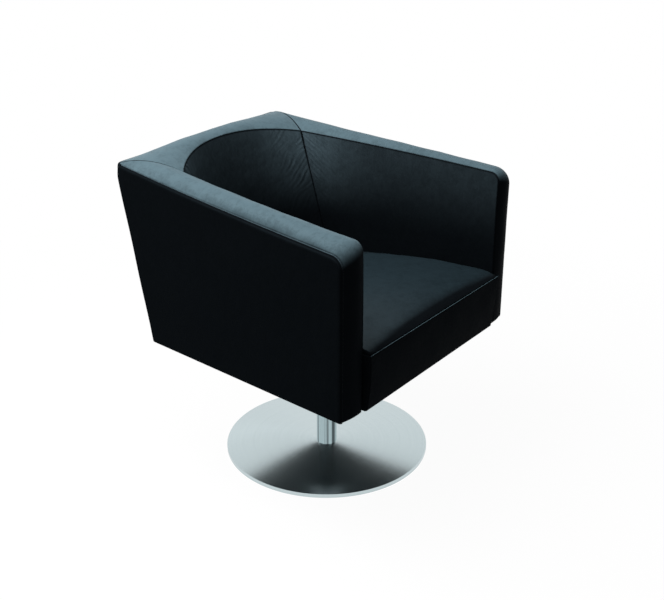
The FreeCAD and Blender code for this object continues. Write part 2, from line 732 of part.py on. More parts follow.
def spindle():
    """Shaft with a hub that rides on the bush and a flange welded under the plate."""
    r = SPINDLE_RADIUS
    hub_z = POST_TOP + BUSH_FLANGE + JOINT_GAP
    flange_top = BOARD_Z - PLATE
    flange_low = flange_top - SPINDLE_FLANGE
    groove = r - GROOVE_DEPTH
    groove_top = GROOVE_Z + RING_THICKNESS + 2 * RING_PLAY
    profile = [(0, SPINDLE_END_Z), (r, SPINDLE_END_Z), (r, GROOVE_Z)]
    profile += [(groove, GROOVE_Z), (groove, groove_top), (r, groove_top), (r, hub_z), (HUB_RADIUS, hub_z)]
    flange = SPINDLE_FLANGE_RADIUS
    profile += [(HUB_RADIUS, flange_low), (flange, flange_low), (flange, flange_top)]
    return turned(profile + [(0, flange_top)])


def retaining_ring():
    """Open spring ring in the spindle's groove."""
    inner = SPINDLE_RADIUS - GROOVE_DEPTH + RING_SEAT_GAP
    outer = inner + RING_WIDTH
    z = GROOVE_Z + RING_PLAY
    opening = Part.makeBox(outer, RING_OPENING, RING_THICKNESS, V(0, -RING_OPENING / 2, z))
    return ring(outer, inner, z, RING_THICKNESS).cut(opening)


def build():
    """Every sub-part by its node name."""
    right_rim = band(side_stations(), rim_section)
    room = gutter()
    right_pad = inner_panel(room)
    left_pad = mirrored(right_pad)
    right_side = side_panel()
    right_frame = arm_frame()
    return {
        "base_cover": base_cover(),
        "ballast_plate": ballast_plate(),
        "floor_pad": floor_pad(),
        "post_tube": post_tube(),
        "post_plug": post_plug(),
        "foot_bolt": foot_bolt(),
        "lower_bush": lower_bush(),
        "upper_bush": upper_bush(),
        "spindle": spindle(),
        "retaining_ring": retaining_ring(),
        "mounting_plate": mounting_plate(),
        "plate_screws": plate_screws(),
        "seat_board": seat_board(),
        "seat_frame": seat_frame(),
        "webbing": webbing(),
        "dust_cover": dust_cover(),
        "arm_frame_left": mirrored(right_frame),
        "arm_frame_right": right_frame,
        "back_frame": back_frame(),
        "side_panel_left": mirrored(right_side),
        "side_panel_right": right_side,
        "rear_panel": rear_panel(room),
        "inner_panel_left": left_pad,
        "inner_panel_right": right_pad,
        "inner_back": inner_back(),
        "rim_left": mirrored(right_rim),
        "rim_right": right_rim,
        "rim_back": band(back_stations(), rim_section),
        "seat_cushion": seat_cushion(),
        "seat_front_panel": seat_front_panel(),
    }


def main():
    os.makedirs("parts", exist_ok=True)
    for name, shape in build().items():
        solids = shape.Solids
        print(name, len(solids), "solid(s)", round(shape.Volume / 1000, 1), "cm3", shape.isValid())
        shape.exportStep(os.path.join("parts", name + ".step"))


if __name__ == "__main__":
    main()
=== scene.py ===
import functools
import math

import bpy
import numpy as np
from bpy.props import FloatProperty, FloatVectorProperty, PointerProperty
from mathutils import Matrix, Vector


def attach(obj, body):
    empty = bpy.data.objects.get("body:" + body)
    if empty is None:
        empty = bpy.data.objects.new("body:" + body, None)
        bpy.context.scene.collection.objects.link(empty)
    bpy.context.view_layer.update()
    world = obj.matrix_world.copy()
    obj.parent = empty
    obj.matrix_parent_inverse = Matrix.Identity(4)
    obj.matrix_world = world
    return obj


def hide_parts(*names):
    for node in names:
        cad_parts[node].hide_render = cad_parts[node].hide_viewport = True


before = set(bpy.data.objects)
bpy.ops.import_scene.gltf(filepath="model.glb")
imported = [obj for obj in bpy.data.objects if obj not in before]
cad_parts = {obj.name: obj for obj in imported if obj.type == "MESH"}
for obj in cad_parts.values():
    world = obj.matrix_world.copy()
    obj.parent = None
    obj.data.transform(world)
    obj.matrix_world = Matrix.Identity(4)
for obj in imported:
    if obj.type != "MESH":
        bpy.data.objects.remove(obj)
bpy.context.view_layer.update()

bl_info = {
    "name": "Pedestal swivel armchair",
    "version": (1, 0, 0),
    "blender": (4, 5, 0),
    "location": "3D View > Sidebar > Armchair",
    "description": "Leather, stitching, brushed steel and a plain studio for a swivel armchair",
    "category": "Object",
}

MM = 0.001

# Seat shell, outside. Metres, +Z up, front towards -Y, left arm at -X.
UNDERSIDE_Z = 0.310
FRONT_Y = -0.303
FRONT_HALF = 0.338
REAR_HALF = 0.284
REAR_FOOT_Y = 0.298
REAR_SEAM_Z = 0.732
BACK_LEAN = 0.22
SHOULDER_INSET = 3.5 * MM
SHOULDER_DROP = 9 * MM
CORNER_ROUND = 8 * MM
TOP_CORNER_ROUND = 22 * MM
TOP_CORNER_FADE = 34 * MM
CORNER_LAP = 14 * MM

# Seat shell, inside
INNER_FRONT_HALF = 0.269
INNER_REAR_HALF = 0.212
INNER_CORNER_Y = 0.240
INNER_BOW = 9 * MM
INNER_BOTTOM_Z = 0.352
INNER_CROWN = 3 * MM
BACK_CURVE_RADIUS = 0.315

# Band between the outer and inner seams
OUTER_SEAM_FRONT_Z = 0.678
OUTER_SEAM_SAG = 5 * MM
OUTER_SEAM_FRONT_Y = -0.290
OUTER_SEAM_RADIUS = 28 * MM
INNER_SEAM_FRONT_Z = 0.6965
INNER_SEAM_CORNER_Z = 0.7195
INNER_SEAM_BACK_Z = 0.740
INNER_SEAM_FRONT_Y = -0.297
INNER_SEAM_RADIUS = 22 * MM
CROWN_SLOPE = 0.21
CROWN_MOST = 16 * MM
FRONT_CROWN = 9.5 * MM
FOOT_CROWN = 3.5 * MM

# Seat
SEAM_Y = -0.315
SEAM_Z = 0.447
SEAM_HALF = 0.2665
FRONT_FOOT_Y = -0.304
FRONT_FOOT_Z = 0.312
FRONT_FOOT_HALF = 0.264
FRONT_BELLY = 2.5 * MM
CUSHION_BOTTOM_Z = 0.382
CUSHION_GAP = 1.5 * MM
SEAM_SWELL = 12.5 * MM
SWELL_LENGTH = 25 * MM
SEAM_CROWN = 1 * MM
CROWN_RISE = 12.5 * MM
CROWN_LENGTH = 40 * MM
REAR_FALL = 37 * MM
FALL_START = 90 * MM
FALL_LENGTH = 480 * MM
FALL_POWER = 1.35
CROWN_FADE = 10 * MM
FADE_START = 230 * MM
FADE_LENGTH = 340 * MM
SEAT_RETURN = 30 * MM
RETURN_COLUMNS = 14
CORNER_COLUMN = 18
FRONT_HOLD = 160 * MM

# How leather goes into a seam
EDGE_THICKNESS = 0.9 * MM
PAD_THICKNESS = 5 * MM
TIGHT_ROLL = 2.6 * MM
TUCK = 1.7 * MM
INNER_ROLL = 3.2 * MM
INNER_TUCK = 2.2 * MM
HEM_ROLL = 4 * MM
MITRE_ROLL = 3 * MM
MITRE_TUCK = 1.4 * MM
BOX_ROLL = 2.4 * MM
BOX_TUCK = 1.5 * MM
SIDE_ROLL = 14 * MM
SIDE_TUCK = 11 * MM
BACK_ROLL = 18 * MM
BACK_TUCK = 12 * MM
SEAM_SHADE = 2.2 * MM

# How far from a seam the padding is held down, and how far its puckers reach
PANEL_HOLD = 40 * MM
SMALL_HOLD = 30 * MM
BAND_HOLD = 12 * MM
PANEL_PUCKER = 10 * MM
INNER_PUCKER = 12 * MM
BAND_PUCKER = 9 * MM
STITCH_PULL = 1.3 * MM
WRINKLES = (12.5 * MM, 8.1 * MM)
WRINKLE_REACH = 60 * MM

# Camera of the photograph
CAMERA_AZIMUTH = math.radians(-53.1)
CAMERA_PITCH = math.radians(24.3)
CAMERA_DISTANCE = 2.767
CAMERA_ASIDE = 13.3 * MM
CAMERA_HEIGHT = 0.3943
FOCAL_PIXELS = 1159.8
PHOTO_PIXELS = 664
SENSOR_WIDTH = 36

CLOTH = {
    "vertex_group_mass": "held", "quality": 5, "mass": 0.3, "tension_stiffness": 12,
    "compression_stiffness": 12, "bending_stiffness": 1.0, "use_pressure": True,
    "uniform_pressure_force": 4,
}
CLOTH_STEPS = 20


def stack(x, y, z):
    """Points from three arrays that spread over one another."""
    return np.stack(np.broadcast_arrays(x, y, z), axis=-1).astype(float)


def unit(vectors):
    """Vectors divided by their length."""
    return vectors / np.maximum(np.linalg.norm(vectors, axis=-1, keepdims=True), 1e-12)


def sagged(a, b, sag, s):
    """Value at share s between a and b, on a parabola that stands sag off the chord midway."""
    return a + (b - a) * s + 4 * sag * s * (1 - s)


def eased(count, edge=0.2):
    """Shares from 0 to 1, a straight line mixed with a sine so that they crowd at both ends."""
    t = np.linspace(-1, 1, count)
    return 0.5 + 0.5 * (edge * t + (1 - edge) * np.sin(np.pi * t / 2))


def crowded(count, edge=0.35):
    """Shares from 0 to 1, a line mixed with a square so that they crowd at the first end."""
    t = np.linspace(0, 1, count)
    return edge * t + (1 - edge) * t ** 2


def smooth(t):
    """0 below 0, 1 above 1, the cubic 3 t squared less 2 t cubed between."""
    t = np.clip(t, 0, 1)
    return t * t * (3 - 2 * t)


def waves(points, length, seed, count=11):
    """Soft unevenness of about one unit: sines of about a length in seeded directions, added."""
    random = np.random.default_rng(seed)
    ways = unit(random.normal(size=(count, 3)))
    lengths = length * random.uniform(0.7, 1.7, count)
    phases = random.uniform(0, 2 * np.pi, count)
    total = np.sin(points @ (2 * np.pi * ways.T / lengths) + phases).sum(axis=-1)
    return total * math.sqrt(2 / count) / 2


def creased(points, length, seed):
    """Crumple of about one unit: valleys where four bent sines cross zero, deep in patches."""
    random = np.random.default_rng(seed)
    bend = np.stack([waves(points, 2.2 * length, seed + number) for number in (1, 2, 3)], axis=-1)
    bent = points + 0.4 * length * bend
    valleys = np.zeros(points.shape[:-1])
    for way in unit(random.normal(size=(4, 3))):
        phase = bent @ way * np.pi / length + random.uniform(0, np.pi)
        valleys += np.exp(-(np.sin(phase) / 0.38) ** 2)
    return valleys / 2 * np.clip(0.5 + 0.6 * waves(points, 3 * length, seed + 4), 0, 1)


def roll(distance, width, depth):
    """Depth of leather at a distance from its seam: a quarter ellipse as wide and deep as given."""
    left = np.clip(1 - distance / width, 0, 1)
    return depth * (1 - np.sqrt(1 - left ** 2))


def dip(distance, place, width, depth):
    """Depth of the shallow valley that a row of stitches pulls: a bell curve round its place."""
    return depth * np.exp(-((distance - place) / width) ** 2)


def rear_y(z):
    """Outside of the back at a height, on a plane that leans."""
    return REAR_FOOT_Y + BACK_LEAN * (z - UNDERSIDE_Z)


REAR_TOP_Y = rear_y(REAR_SEAM_Z)
REAR_SEAM_Y = REAR_TOP_Y - SHOULDER_INSET
TAPER = math.atan((FRONT_HALF - REAR_HALF) / (REAR_TOP_Y - FRONT_Y))


def outer_half(y):
    """Half of the outside width, a straight taper to the rear."""
    s = (y - FRONT_Y) / (REAR_TOP_Y - FRONT_Y)
    return FRONT_HALF + (REAR_HALF - FRONT_HALF) * s


def inner_share(y):
    """Share of the way from the inner seam's front to the corner."""
    return (y - INNER_SEAM_FRONT_Y) / (INNER_CORNER_Y - INNER_SEAM_FRONT_Y)


def inner_half(y):
    """Half of the width between the arms, a taper with a parabola's bow."""
    return sagged(INNER_FRONT_HALF, INNER_REAR_HALF, INNER_BOW, inner_share(y))


def outer_seam_z(y):
    """Height of the outer seam: a rising line with a parabola's sag."""
    s = (y - OUTER_SEAM_FRONT_Y) / (REAR_SEAM_Y - OUTER_SEAM_FRONT_Y)
    return sagged(OUTER_SEAM_FRONT_Z, REAR_SEAM_Z, -OUTER_SEAM_SAG, s)


def inner_seam_z(y):
    """Height of the inner seam along the arm: a rising line."""
    return sagged(INNER_SEAM_FRONT_Z, INNER_SEAM_CORNER_Z, 0, inner_share(y))


CORNER_ANGLE = math.asin(INNER_REAR_HALF / BACK_CURVE_RADIUS)
BACK_CENTRE_Y = INNER_CORNER_Y - BACK_CURVE_RADIUS * math.cos(CORNER_ANGLE)
SEAM_RISE = INNER_SEAM_BACK_Z - INNER_SEAM_CORNER_Z
FACE_DEPTH = BACK_CENTRE_Y + BACK_CURVE_RADIUS - BACK_LEAN * SEAM_RISE - INNER_CORNER_Y
FACE_RADIUS = (INNER_REAR_HALF ** 2 + FACE_DEPTH ** 2) / (2 * FACE_DEPTH)
OUTER_CORNER_HALF = outer_half(REAR_SEAM_Y) - SHOULDER_INSET


def back_curve(angle):
    """Inner seam of the back: a circle in plan whose height falls with the square of the angle."""
    x = BACK_CURVE_RADIUS * np.sin(angle)
    y = BACK_CENTRE_Y + BACK_CURVE_RADIUS * np.cos(angle)
    return stack(x, y, INNER_SEAM_CORNER_Z + SEAM_RISE * (1 - (angle / CORNER_ANGLE) ** 2))


def back_face(angle, z, forward=0.0):
    """Curved face of the back: a circle in plan that moves rearwards with the height."""
    lean = BACK_LEAN * (z - INNER_SEAM_CORNER_Z)
    centre = INNER_CORNER_Y + FACE_DEPTH - FACE_RADIUS - forward + lean
    return stack(FACE_RADIUS * np.sin(angle), centre + FACE_RADIUS * np.cos(angle), z)


def corner_angle(z):
    """Angle where the back's face meets the arm's, found by repeating the arm's half width."""
    angle = np.full(np.shape(z), CORNER_ANGLE)
    for _ in range(12):
        angle = np.arcsin(inner_half(back_face(angle, z)[..., 1]) / FACE_RADIUS)
    return angle


def top_crown(outer, inner):
    """Crown of the band: a share of its width, up to a most."""
    return np.minimum(CROWN_SLOPE * np.linalg.norm(inner - outer, axis=-1), CROWN_MOST)


def side_stations(run_count=190, turn_count=26, drop_count=92):
    """Seam pairs of the right band: over the arm, a quarter turn, and down the front."""
    s = crowded(run_count)
    outer_turn_y = OUTER_SEAM_FRONT_Y + OUTER_SEAM_RADIUS
    inner_turn_y = INNER_SEAM_FRONT_Y + INNER_SEAM_RADIUS
    y_out = REAR_SEAM_Y + (outer_turn_y - REAR_SEAM_Y) * s
    y_in = INNER_CORNER_Y + (inner_turn_y - INNER_CORNER_Y) * s
    outer = [stack(outer_half(y_out) - SHOULDER_INSET, y_out, outer_seam_z(y_out))]
    inner = [stack(inner_half(y_in), y_in, inner_seam_z(y_in))]
    way = [stack(0 * s, 0 * s, 1)]
    crown = [top_crown(outer[0], inner[0])]
    share = np.linspace(0, 1, turn_count)[1:]
    turn = np.radians(90) * share
    back, up = -np.sin(turn), np.cos(turn)
    y_out = outer_turn_y + OUTER_SEAM_RADIUS * back
    y_in = inner_turn_y + INNER_SEAM_RADIUS * back
    outer.append(stack(outer_half(y_out) - SHOULDER_INSET, y_out,
                       outer[0][-1, 2] + OUTER_SEAM_RADIUS * (up - 1)))
    inner.append(stack(inner_half(y_in), y_in, inner[0][-1, 2] + INNER_SEAM_RADIUS * (up - 1)))
    way.append(stack(0, back, up))
    crown.append(crown[0][-1] + (FRONT_CROWN - crown[0][-1]) * share)
    down = np.linspace(0, 1, drop_count)[1:, None]
    for seam in (outer, inner):
        foot = seam[1][-1] * [1, 1, 0] + [0, 0, UNDERSIDE_Z]
        seam.append(seam[1][-1] + (foot - seam[1][-1]) * down)
    way.append(stack(0 * down[:, 0], -1, 0))
    crown.append(FRONT_CROWN + (FOOT_CROWN - FRONT_CROWN) * down[:, 0])
    return [np.concatenate(parts) for parts in (outer, inner, way, crown)]


def back_stations(count=230):
    """Seam pairs of the back's band from mitre to mitre."""
    s = 2 * eased(count, 0.4) - 1
    outer = stack(OUTER_CORNER_HALF * s, REAR_SEAM_Y, REAR_SEAM_Z)
    inner = back_curve(CORNER_ANGLE * s)
    return [outer, inner, stack(0 * s, 0, 1), top_crown(outer, inner)]


def band_arc(outer, inner, way, crown):
    """Circle over each station's chord: direction along it, direction up, radius and half angle."""
    chord = inner - outer
    width = np.linalg.norm(chord, axis=-1)
    along = unit(chord)
    up = unit(way - (way * along).sum(axis=-1, keepdims=True) * along)
    radius = (width ** 2 / 4 + crown ** 2) / (2 * crown)
    return along, up, radius, np.arcsin(width / 2 / radius)


def band_points(stations, share):
    """Points and normals of the band's crowned top at shares of the way across each station."""
    outer, inner, way, crown = stations
    along, up, radius, half = band_arc(outer, inner, way, crown)
    turn = half[:, None] * (2 * share - 1)
    middle = (outer + inner) / 2 - up * (radius - crown)[:, None]
    normal = along[:, None] * np.sin(turn)[..., None] + up[:, None] * np.cos(turn)[..., None]
    points = middle[:, None] + normal * radius[:, None, None]
    reach = radius[:, None] * half[:, None]
    return points, normal, reach * 2 * share, reach * 2 * (1 - share)


def mitre_distance(points):
    """Distance in plan from the line between the outer and inner rear corners."""
    way = np.array([OUTER_CORNER_HALF - INNER_REAR_HALF, REAR_SEAM_Y - INNER_CORNER_Y])
    square = np.array([-way[1], way[0]]) / np.linalg.norm(way)
    off = np.abs(points[..., 0]) - OUTER_CORNER_HALF
    return np.abs(off * square[0] + (points[..., 1] - REAR_SEAM_Y) * square[1])


def corner_radius(z):
    """Radius of the upright rear corner: tight below, easing out to the band."""
    share = smooth((z - REAR_SEAM_Z) / TOP_CORNER_FADE + 1)
    return CORNER_ROUND + (TOP_CORNER_ROUND - CORNER_ROUND) * share


def corner_centre(radius, y):
    """Half width and depth of the rear corner's centre, for a rear face at y."""
    return outer_half(y - radius) - radius / math.cos(TAPER), y - radius


def corner_rounded(points):
    """Rear corner of the band made round: each point is drawn in by the cosine of its angle
    from the nearer edge's normal, as seen from the corner's centre."""
    centre_x, centre_y = corner_centre(TOP_CORNER_ROUND, REAR_TOP_Y)
    side = np.where(points[..., 0] < 0, -1.0, 1.0)
    off_x = np.abs(points[..., 0]) - centre_x
    off_y = points[..., 1] - centre_y
    angle = np.arctan2(off_y, off_x)
    nearer = np.maximum(np.cos(angle - TAPER), np.sin(angle))
    scale = np.where((angle > TAPER) & (angle < np.pi / 2), nearer, 1.0)
    return stack((centre_x + off_x * scale) * side, centre_y + off_y * scale, points[..., 2])


def arm_seam(front_y, seam_z, radius, rear, foot_z, count):
    """Seam in the arm's plane: up the front, round a quarter circle and back along the arm.
    Comes with its distances from the foot and the one where the front becomes the top."""
    turn_y = front_y + radius
    turn_z = seam_z(turn_y) - radius
    angle = np.linspace(0, np.radians(90), 40)
    y = np.linspace(turn_y, rear, count)[1:]
    path = np.concatenate([
        [[front_y, foot_z]],
        np.stack([turn_y - radius * np.cos(angle), turn_z + radius * np.sin(angle)], -1),
        np.stack([y, seam_z(y)], -1)])
    length = path_length(path)
    return path, length, np.interp(turn_y - radius * 0.6, path[1:, 0], length[1:])


def path_length(path):
    """Distance along a path of points from its start."""
    steps = np.linalg.norm(np.diff(path, axis=0), axis=-1)
    return np.concatenate([[0], np.cumsum(steps)])


def along_path(path, distances):
    """Points of a path at distances from its start."""
    length = path_length(path)
    return np.stack([np.interp(distances, length, numbers) for numbers in path.T], axis=-1)


def patch(bottom, top, front, rear):
    """Coons patch: rows run up from the bottom curve to the top, columns from front to rear."""
    s = np.linspace(0, 1, len(bottom))[None, :, None]
    t = np.linspace(0, 1, len(front))[:, None, None]
    rows = bottom[None] * (1 - t) + top[None] * t
    columns = front[:, None] * (1 - s) + rear[:, None] * s
    low = bottom[0] * (1 - s) + bottom[-1] * s
    high = top[0] * (1 - s) + top[-1] * s
    return rows + columns - (low * (1 - t) + high * t)


def under_seam(seam, middle, last, rear, s, t):
    """Flat patch between a seam, its foot and a rear edge, at shares s along and t up."""
    bottom = np.stack([seam[0, 0] + (rear[0, 0] - seam[0, 0]) * s, 0 * s + seam[0, 1]], -1)
    top = along_path(seam, middle + (last - middle) * s)
    top[-1] = rear[-1]
    return patch(bottom, top, along_path(seam, middle * t), rear)


def line_distance(points, path):
    """Least distance of flat points from a path of straight pieces."""
    start, step = path[:-1], np.diff(path, axis=0)
    off = points[..., None, :] - start
    share = np.clip((off * step).sum(axis=-1) / (step ** 2).sum(axis=-1), 0, 1)
    return np.linalg.norm(off - step * share[..., None], axis=-1).min(axis=-1)


def facing_normals(grid, facing):
    """Normals of a grid: cross products of its two gradients, all turned to the facing side."""
    normal = unit(np.cross(np.gradient(grid, axis=0), np.gradient(grid, axis=1)))
    middle = normal[grid.shape[0] // 2, grid.shape[1] // 2]
    return normal if middle @ np.array(facing) > 0 else -normal


def quads(index):
    """Four-sided faces between the neighbours of a grid of vertex numbers."""
    corners = [index[:-1, :-1], index[1:, :-1], index[1:, 1:], index[:-1, 1:]]
    return np.stack(corners, axis=-1).reshape(-1, 4)


def slab(front, back):
    """Closed mesh of a front grid, a back grid of the same size and walls round their edges."""
    index = np.arange(front.shape[0] * front.shape[1]).reshape(front.shape[:2])
    edge = np.concatenate(
        [index[0, :-1], index[:-1, -1], index[-1, :0:-1], index[:0:-1, 0]])
    after = np.roll(edge, -1)
    walls = np.stack([edge, after, after + index.size, edge + index.size], axis=-1)
    faces = np.concatenate([quads(index), quads(index)[:, ::-1] + index.size, walls])
    vertices = np.concatenate([front.reshape(-1, 3), back.reshape(-1, 3)])
    return vertices, outward(vertices, faces)


def outward(vertices, faces):
    """Faces turned over where the closed mesh's signed volume is below zero."""
    a, b, c, d = (vertices[faces[:, i]] for i in range(4))
    volume = (a * (np.cross(b, c) + np.cross(c, d))).sum()
    return faces if volume > 0 else faces[:, ::-1]


def padded_slab(grid, facing, sink, edge):
    """Pad over a surface: its front is sunk along the normals, and it thins towards its edges."""
    normal = facing_normals(grid, facing)
    front = grid - normal * sink[..., None]
    back = front - normal * (EDGE_THICKNESS + np.clip(edge, 0, PAD_THICKNESS))[..., None]
    return slab(front, back)


def seam_marks(distance, **others):
    """Values that the leather reads, for both faces of a slab: 1 in a seam, fading out beside it
    like a bell curve, where the leather gets painted shade, and any others given."""
    values = {"in_seam": np.exp(-(np.maximum(distance, 0) / SEAM_SHADE) ** 2), **others}
    return {name: np.tile(np.broadcast_to(value, distance.shape).ravel(), 2)
            for name, value in values.items()}


def mirrored(vertices, faces):
    """The same mesh at the other side, its faces turned so that they point outwards."""
    return vertices * [-1, 1, 1], faces[:, ::-1]


def new_piece(name, mesh_data, material, body, sharp=50, marks=None):
    """Object at the origin with a smooth-shaded mesh, a material and the body it rides on."""
    vertices, faces = mesh_data
    mesh = bpy.data.meshes.new(name)
    mesh.from_pydata(vertices.tolist(), [], faces.tolist())
    mesh.polygons.foreach_set("use_smooth", np.ones(len(mesh.polygons), dtype=bool))
    mesh.set_sharp_from_angle(angle=math.radians(sharp))
    for mark, values in (marks or {}).items():
        mesh.attributes.new(mark, "FLOAT", "POINT").data.foreach_set("value", values)
    mesh.materials.append(material)
    mesh.update()
    piece = bpy.data.objects.new(name, mesh)
    bpy.context.scene.collection.objects.link(piece)
    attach(piece, body)
    return piece


def upholstered(name, mesh_data, node, use, marks):
    """Leather piece that stands for its node, whose CAD part it hides."""
    piece = new_piece(name, mesh_data, leather(use), "seat", marks=marks)
    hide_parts(node)
    return piece


def upholstered_pair(name, right, node, use, marks):
    """A right piece and its mirror image, both named after their side."""
    for side, mesh_data in (("_right", right), ("_left", mirrored(*right))):
        upholstered(name + side, mesh_data, node + side, use, marks)


class Value:
    """A shader socket in sums: each operator adds its Math node."""

    def __init__(self, shade, socket):
        self.shade, self.socket = shade, socket

    def math(self, operation, *others, **settings):
        sockets = dict(enumerate((self,) + others))
        return self.shade.add("ShaderNodeMath", {"operation": operation, **settings}, sockets)

    def __add__(self, other):
        return self.math("ADD", other)

    def __mul__(self, other):
        return self.math("MULTIPLY", other)

    def __sub__(self, other):
        return self.math("SUBTRACT", other)

    def __rsub__(self, other):
        return self * -1 + other

    def __pow__(self, other):
        return self.math("POWER", other)

    def clamped(self):
        return self.math("ADD", 0.0, use_clamp=True)

    __radd__, __rmul__ = __add__, __mul__


class Shade:
    """One material's or world's nodes."""

    def __init__(self, owner):
        owner.use_nodes = True
        self.owner = owner
        self.tree = owner.node_tree
        self.tree.nodes.clear()

    def add(self, kind, settings=None, sockets=None, output=0):
        """Node of a type: its settings are set first, then its sockets' values or links."""
        node = self.tree.nodes.new(kind)
        for key, value in (settings or {}).items():
            if key == "stops":
                self.set_stops(node.color_ramp, value)
            else:
                setattr(node, key, value)
        for key, value in (sockets or {}).items():
            if isinstance(value, Value):
                self.tree.links.new(value.socket, node.inputs[key])
            else:
                node.inputs[key].default_value = value
        return Value(self, node.outputs[output]) if node.outputs else node

    @staticmethod
    def set_stops(ramp, stops):
        for _ in stops[2:]:
            ramp.elements.new(0.5)
        for element, (place, colour) in zip(ramp.elements, stops):
            element.position = place
            element.color = (*colour, 1)

    def place(self, scale=(1, 1, 1), turn=(0, 0, 0)):
        """Object coordinates, scaled and turned."""
        coordinates = self.add("ShaderNodeTexCoord", output="Object")
        sockets = {"Vector": coordinates, "Scale": scale, "Rotation": turn}
        return self.add("ShaderNodeMapping", sockets=sockets)

    def parts(self, vector):
        """The three numbers of a vector."""
        x = self.add("ShaderNodeSeparateXYZ", sockets={0: vector})
        node = x.socket.node
        return x, Value(self, node.outputs[1]), Value(self, node.outputs[2])

    def noise(self, vector, scale, detail=3.0, roughness=0.5, distortion=0.0):
        sockets = {"Vector": vector, "Scale": scale, "Detail": detail, "Roughness": roughness,
                   "Distortion": distortion}
        return self.add("ShaderNodeTexNoise", sockets=sockets)

    def cells(self, vector, scale, feature="F1", randomness=1.0):
        return self.add("ShaderNodeTexVoronoi", {"feature": feature},
                        {"Vector": vector, "Scale": scale, "Randomness": randomness})

    def ramp(self, value, low, high):
        """0 below low, 1 above high, smooth between."""
        return self.add("ShaderNodeMapRange", {"interpolation_type": "SMOOTHSTEP"},
                        {"Value": value, "From Min": low, "From Max": high})

    def colour(self, share, first, second):
        return self.add("ShaderNodeMix", {"data_type": "RGBA"},
                        {0: share, 6: (*first, 1), 7: (*second, 1)}, output=2)

    def bump(self, height, distance, strength=1.0, normal=None):
        sockets = {"Height": height, "Distance": distance, "Strength": strength}
        if normal:
            sockets["Normal"] = normal
        return self.add("ShaderNodeBump", sockets=sockets)

    def surface(self, colour, roughness, normal, others=None):
        sockets = {"Base Color": colour, "Roughness": roughness, "Normal": normal}
        return self.add("ShaderNodeBsdfPrincipled", sockets={**sockets, **(others or {})})

    def mixed(self, share, first, second):
        return self.add("ShaderNodeMixShader", sockets={0: share, 1: first, 2: second})

    def finish(self, shader):
        """The owner, its output linked to the shader."""
        kind = "World" if isinstance(self.owner, bpy.types.World) else "Material"
        self.add("ShaderNodeOutput" + kind, sockets={"Surface": shader})
        return self.owner


def made_once(build):
    """Decorator of a material's look: a call with a name gives the material of that name,
    which is built the first time it is asked for."""

    @functools.wraps(build)
    def get(name, *look):
        found = bpy.data.materials.get(name)
        return found or build(Shade(bpy.data.materials.new(name)), *look)

    return get


def leather(use):
    """Black leather in one of its uses: taut, on the bands and welt, on the seat's top, or creased
    on the inner panels; each mixes in a lighter colour of painted light where its mask says.
    """
    look = bpy.context.scene.armchair_leather
    states = {
        # The second colour of each use is painted light, mixed in by the mask named last.
        "taut": (look.taut_top_light_colour, look.gloss, top_light_share),
        "rested": (look.band_top_light_colour, look.polish, top_light_share),
        "seated": (look.seat_top_light_colour, look.seat_polish, flat_seat_light_share),
        "creased": (look.high_inner_light_colour, look.gloss * 2, marked_painted_light),
    }
    return painted_light_leather("black_leather_" + use, *states[use])


def upward(shade):
    """Upward part of the surface's normal."""
    return shade.parts(shade.add("ShaderNodeNewGeometry", output="Normal"))[2]


def top_light_share(shade):
    """1 where the surface faces up, 0 where it is upright: the share of painted light, lighter
    leather on faces that the lamps light from above.
    """
    return shade.ramp(upward(shade), 0.05, 0.95)


def flat_seat_light_share(shade):
    """1 where the seat lies flat, 0 on the steep roll to its seams: the share of painted light,
    which leaves the roll darker as painted shade.
    """
    return shade.ramp(upward(shade), 0.91, 0.998)


def marked_painted_light(shade):
    """The piece's own share of painted light, stored in its mesh."""
    return shade.add("ShaderNodeAttribute", {"attribute_name": "worn"}, output="Fac")


@made_once
def painted_light_leather(shade, painted_light_colour, polish, worn):
    """Black leather: pebbled grain and creases, lighter where a mask puts painted light and
    glossier there, and dull in its seams, which is painted shade."""
    look = bpy.context.scene.armchair_leather
    place = shade.place()
    pebbles = shade.cells(place, 620, "SMOOTH_F1")
    fine = shade.noise(place, 900, 2)
    creases = shade.noise(shade.place((1, 1, 0.6), (0.5, 0.4, 0.3)), 95, 5, 0.62, 0.9)
    folds = shade.noise(place, 28, 3, 0.55, 0.5)
    normal = shade.bump((1 - pebbles) * 0.7 + fine * 0.3, 0.2 * MM, look.grain)
    normal = shade.bump(creases, 1.1 * MM, look.grain * 0.7, normal)
    normal = shade.bump(folds, 2.2 * MM, look.grain * 0.6, normal)
    mottle = shade.ramp(creases, 0.3, 0.7) * 0.6 + shade.ramp(folds, 0.3, 0.7) * 0.4
    mottle = mottle.clamped()
    roughness = look.roughness + (creases - 0.5) * 0.14 + (pebbles - 0.4) * 0.06

    def layer(colour, gloss):
        dark = tuple(value * look.mottle for value in colour)
        others = {"Specular IOR Level": gloss, "Specular Tint": (*look.gloss_colour, 1)}
        return shade.surface(shade.colour(mottle, dark, colour), roughness, normal, others)

    # The second layer is painted light: a lighter colour standing in for the lamps' light, its
    # share given by the worn mask.
    plain, painted_light_layer = layer(look.colour, look.gloss), layer(painted_light_colour, polish)
    # Painted shade in the seams: there the painted light and the gloss are taken out.
    seam = shade.add("ShaderNodeAttribute", {"attribute_name": "in_seam"}, output="Fac")
    share = (worn(shade) * (mottle * 0.3 + 0.85) * (1 - seam)).clamped()
    in_the_open = shade.mixed(share, plain, painted_light_layer)
    return shade.finish(shade.mixed(seam, in_the_open, layer(look.colour, 0.0)))


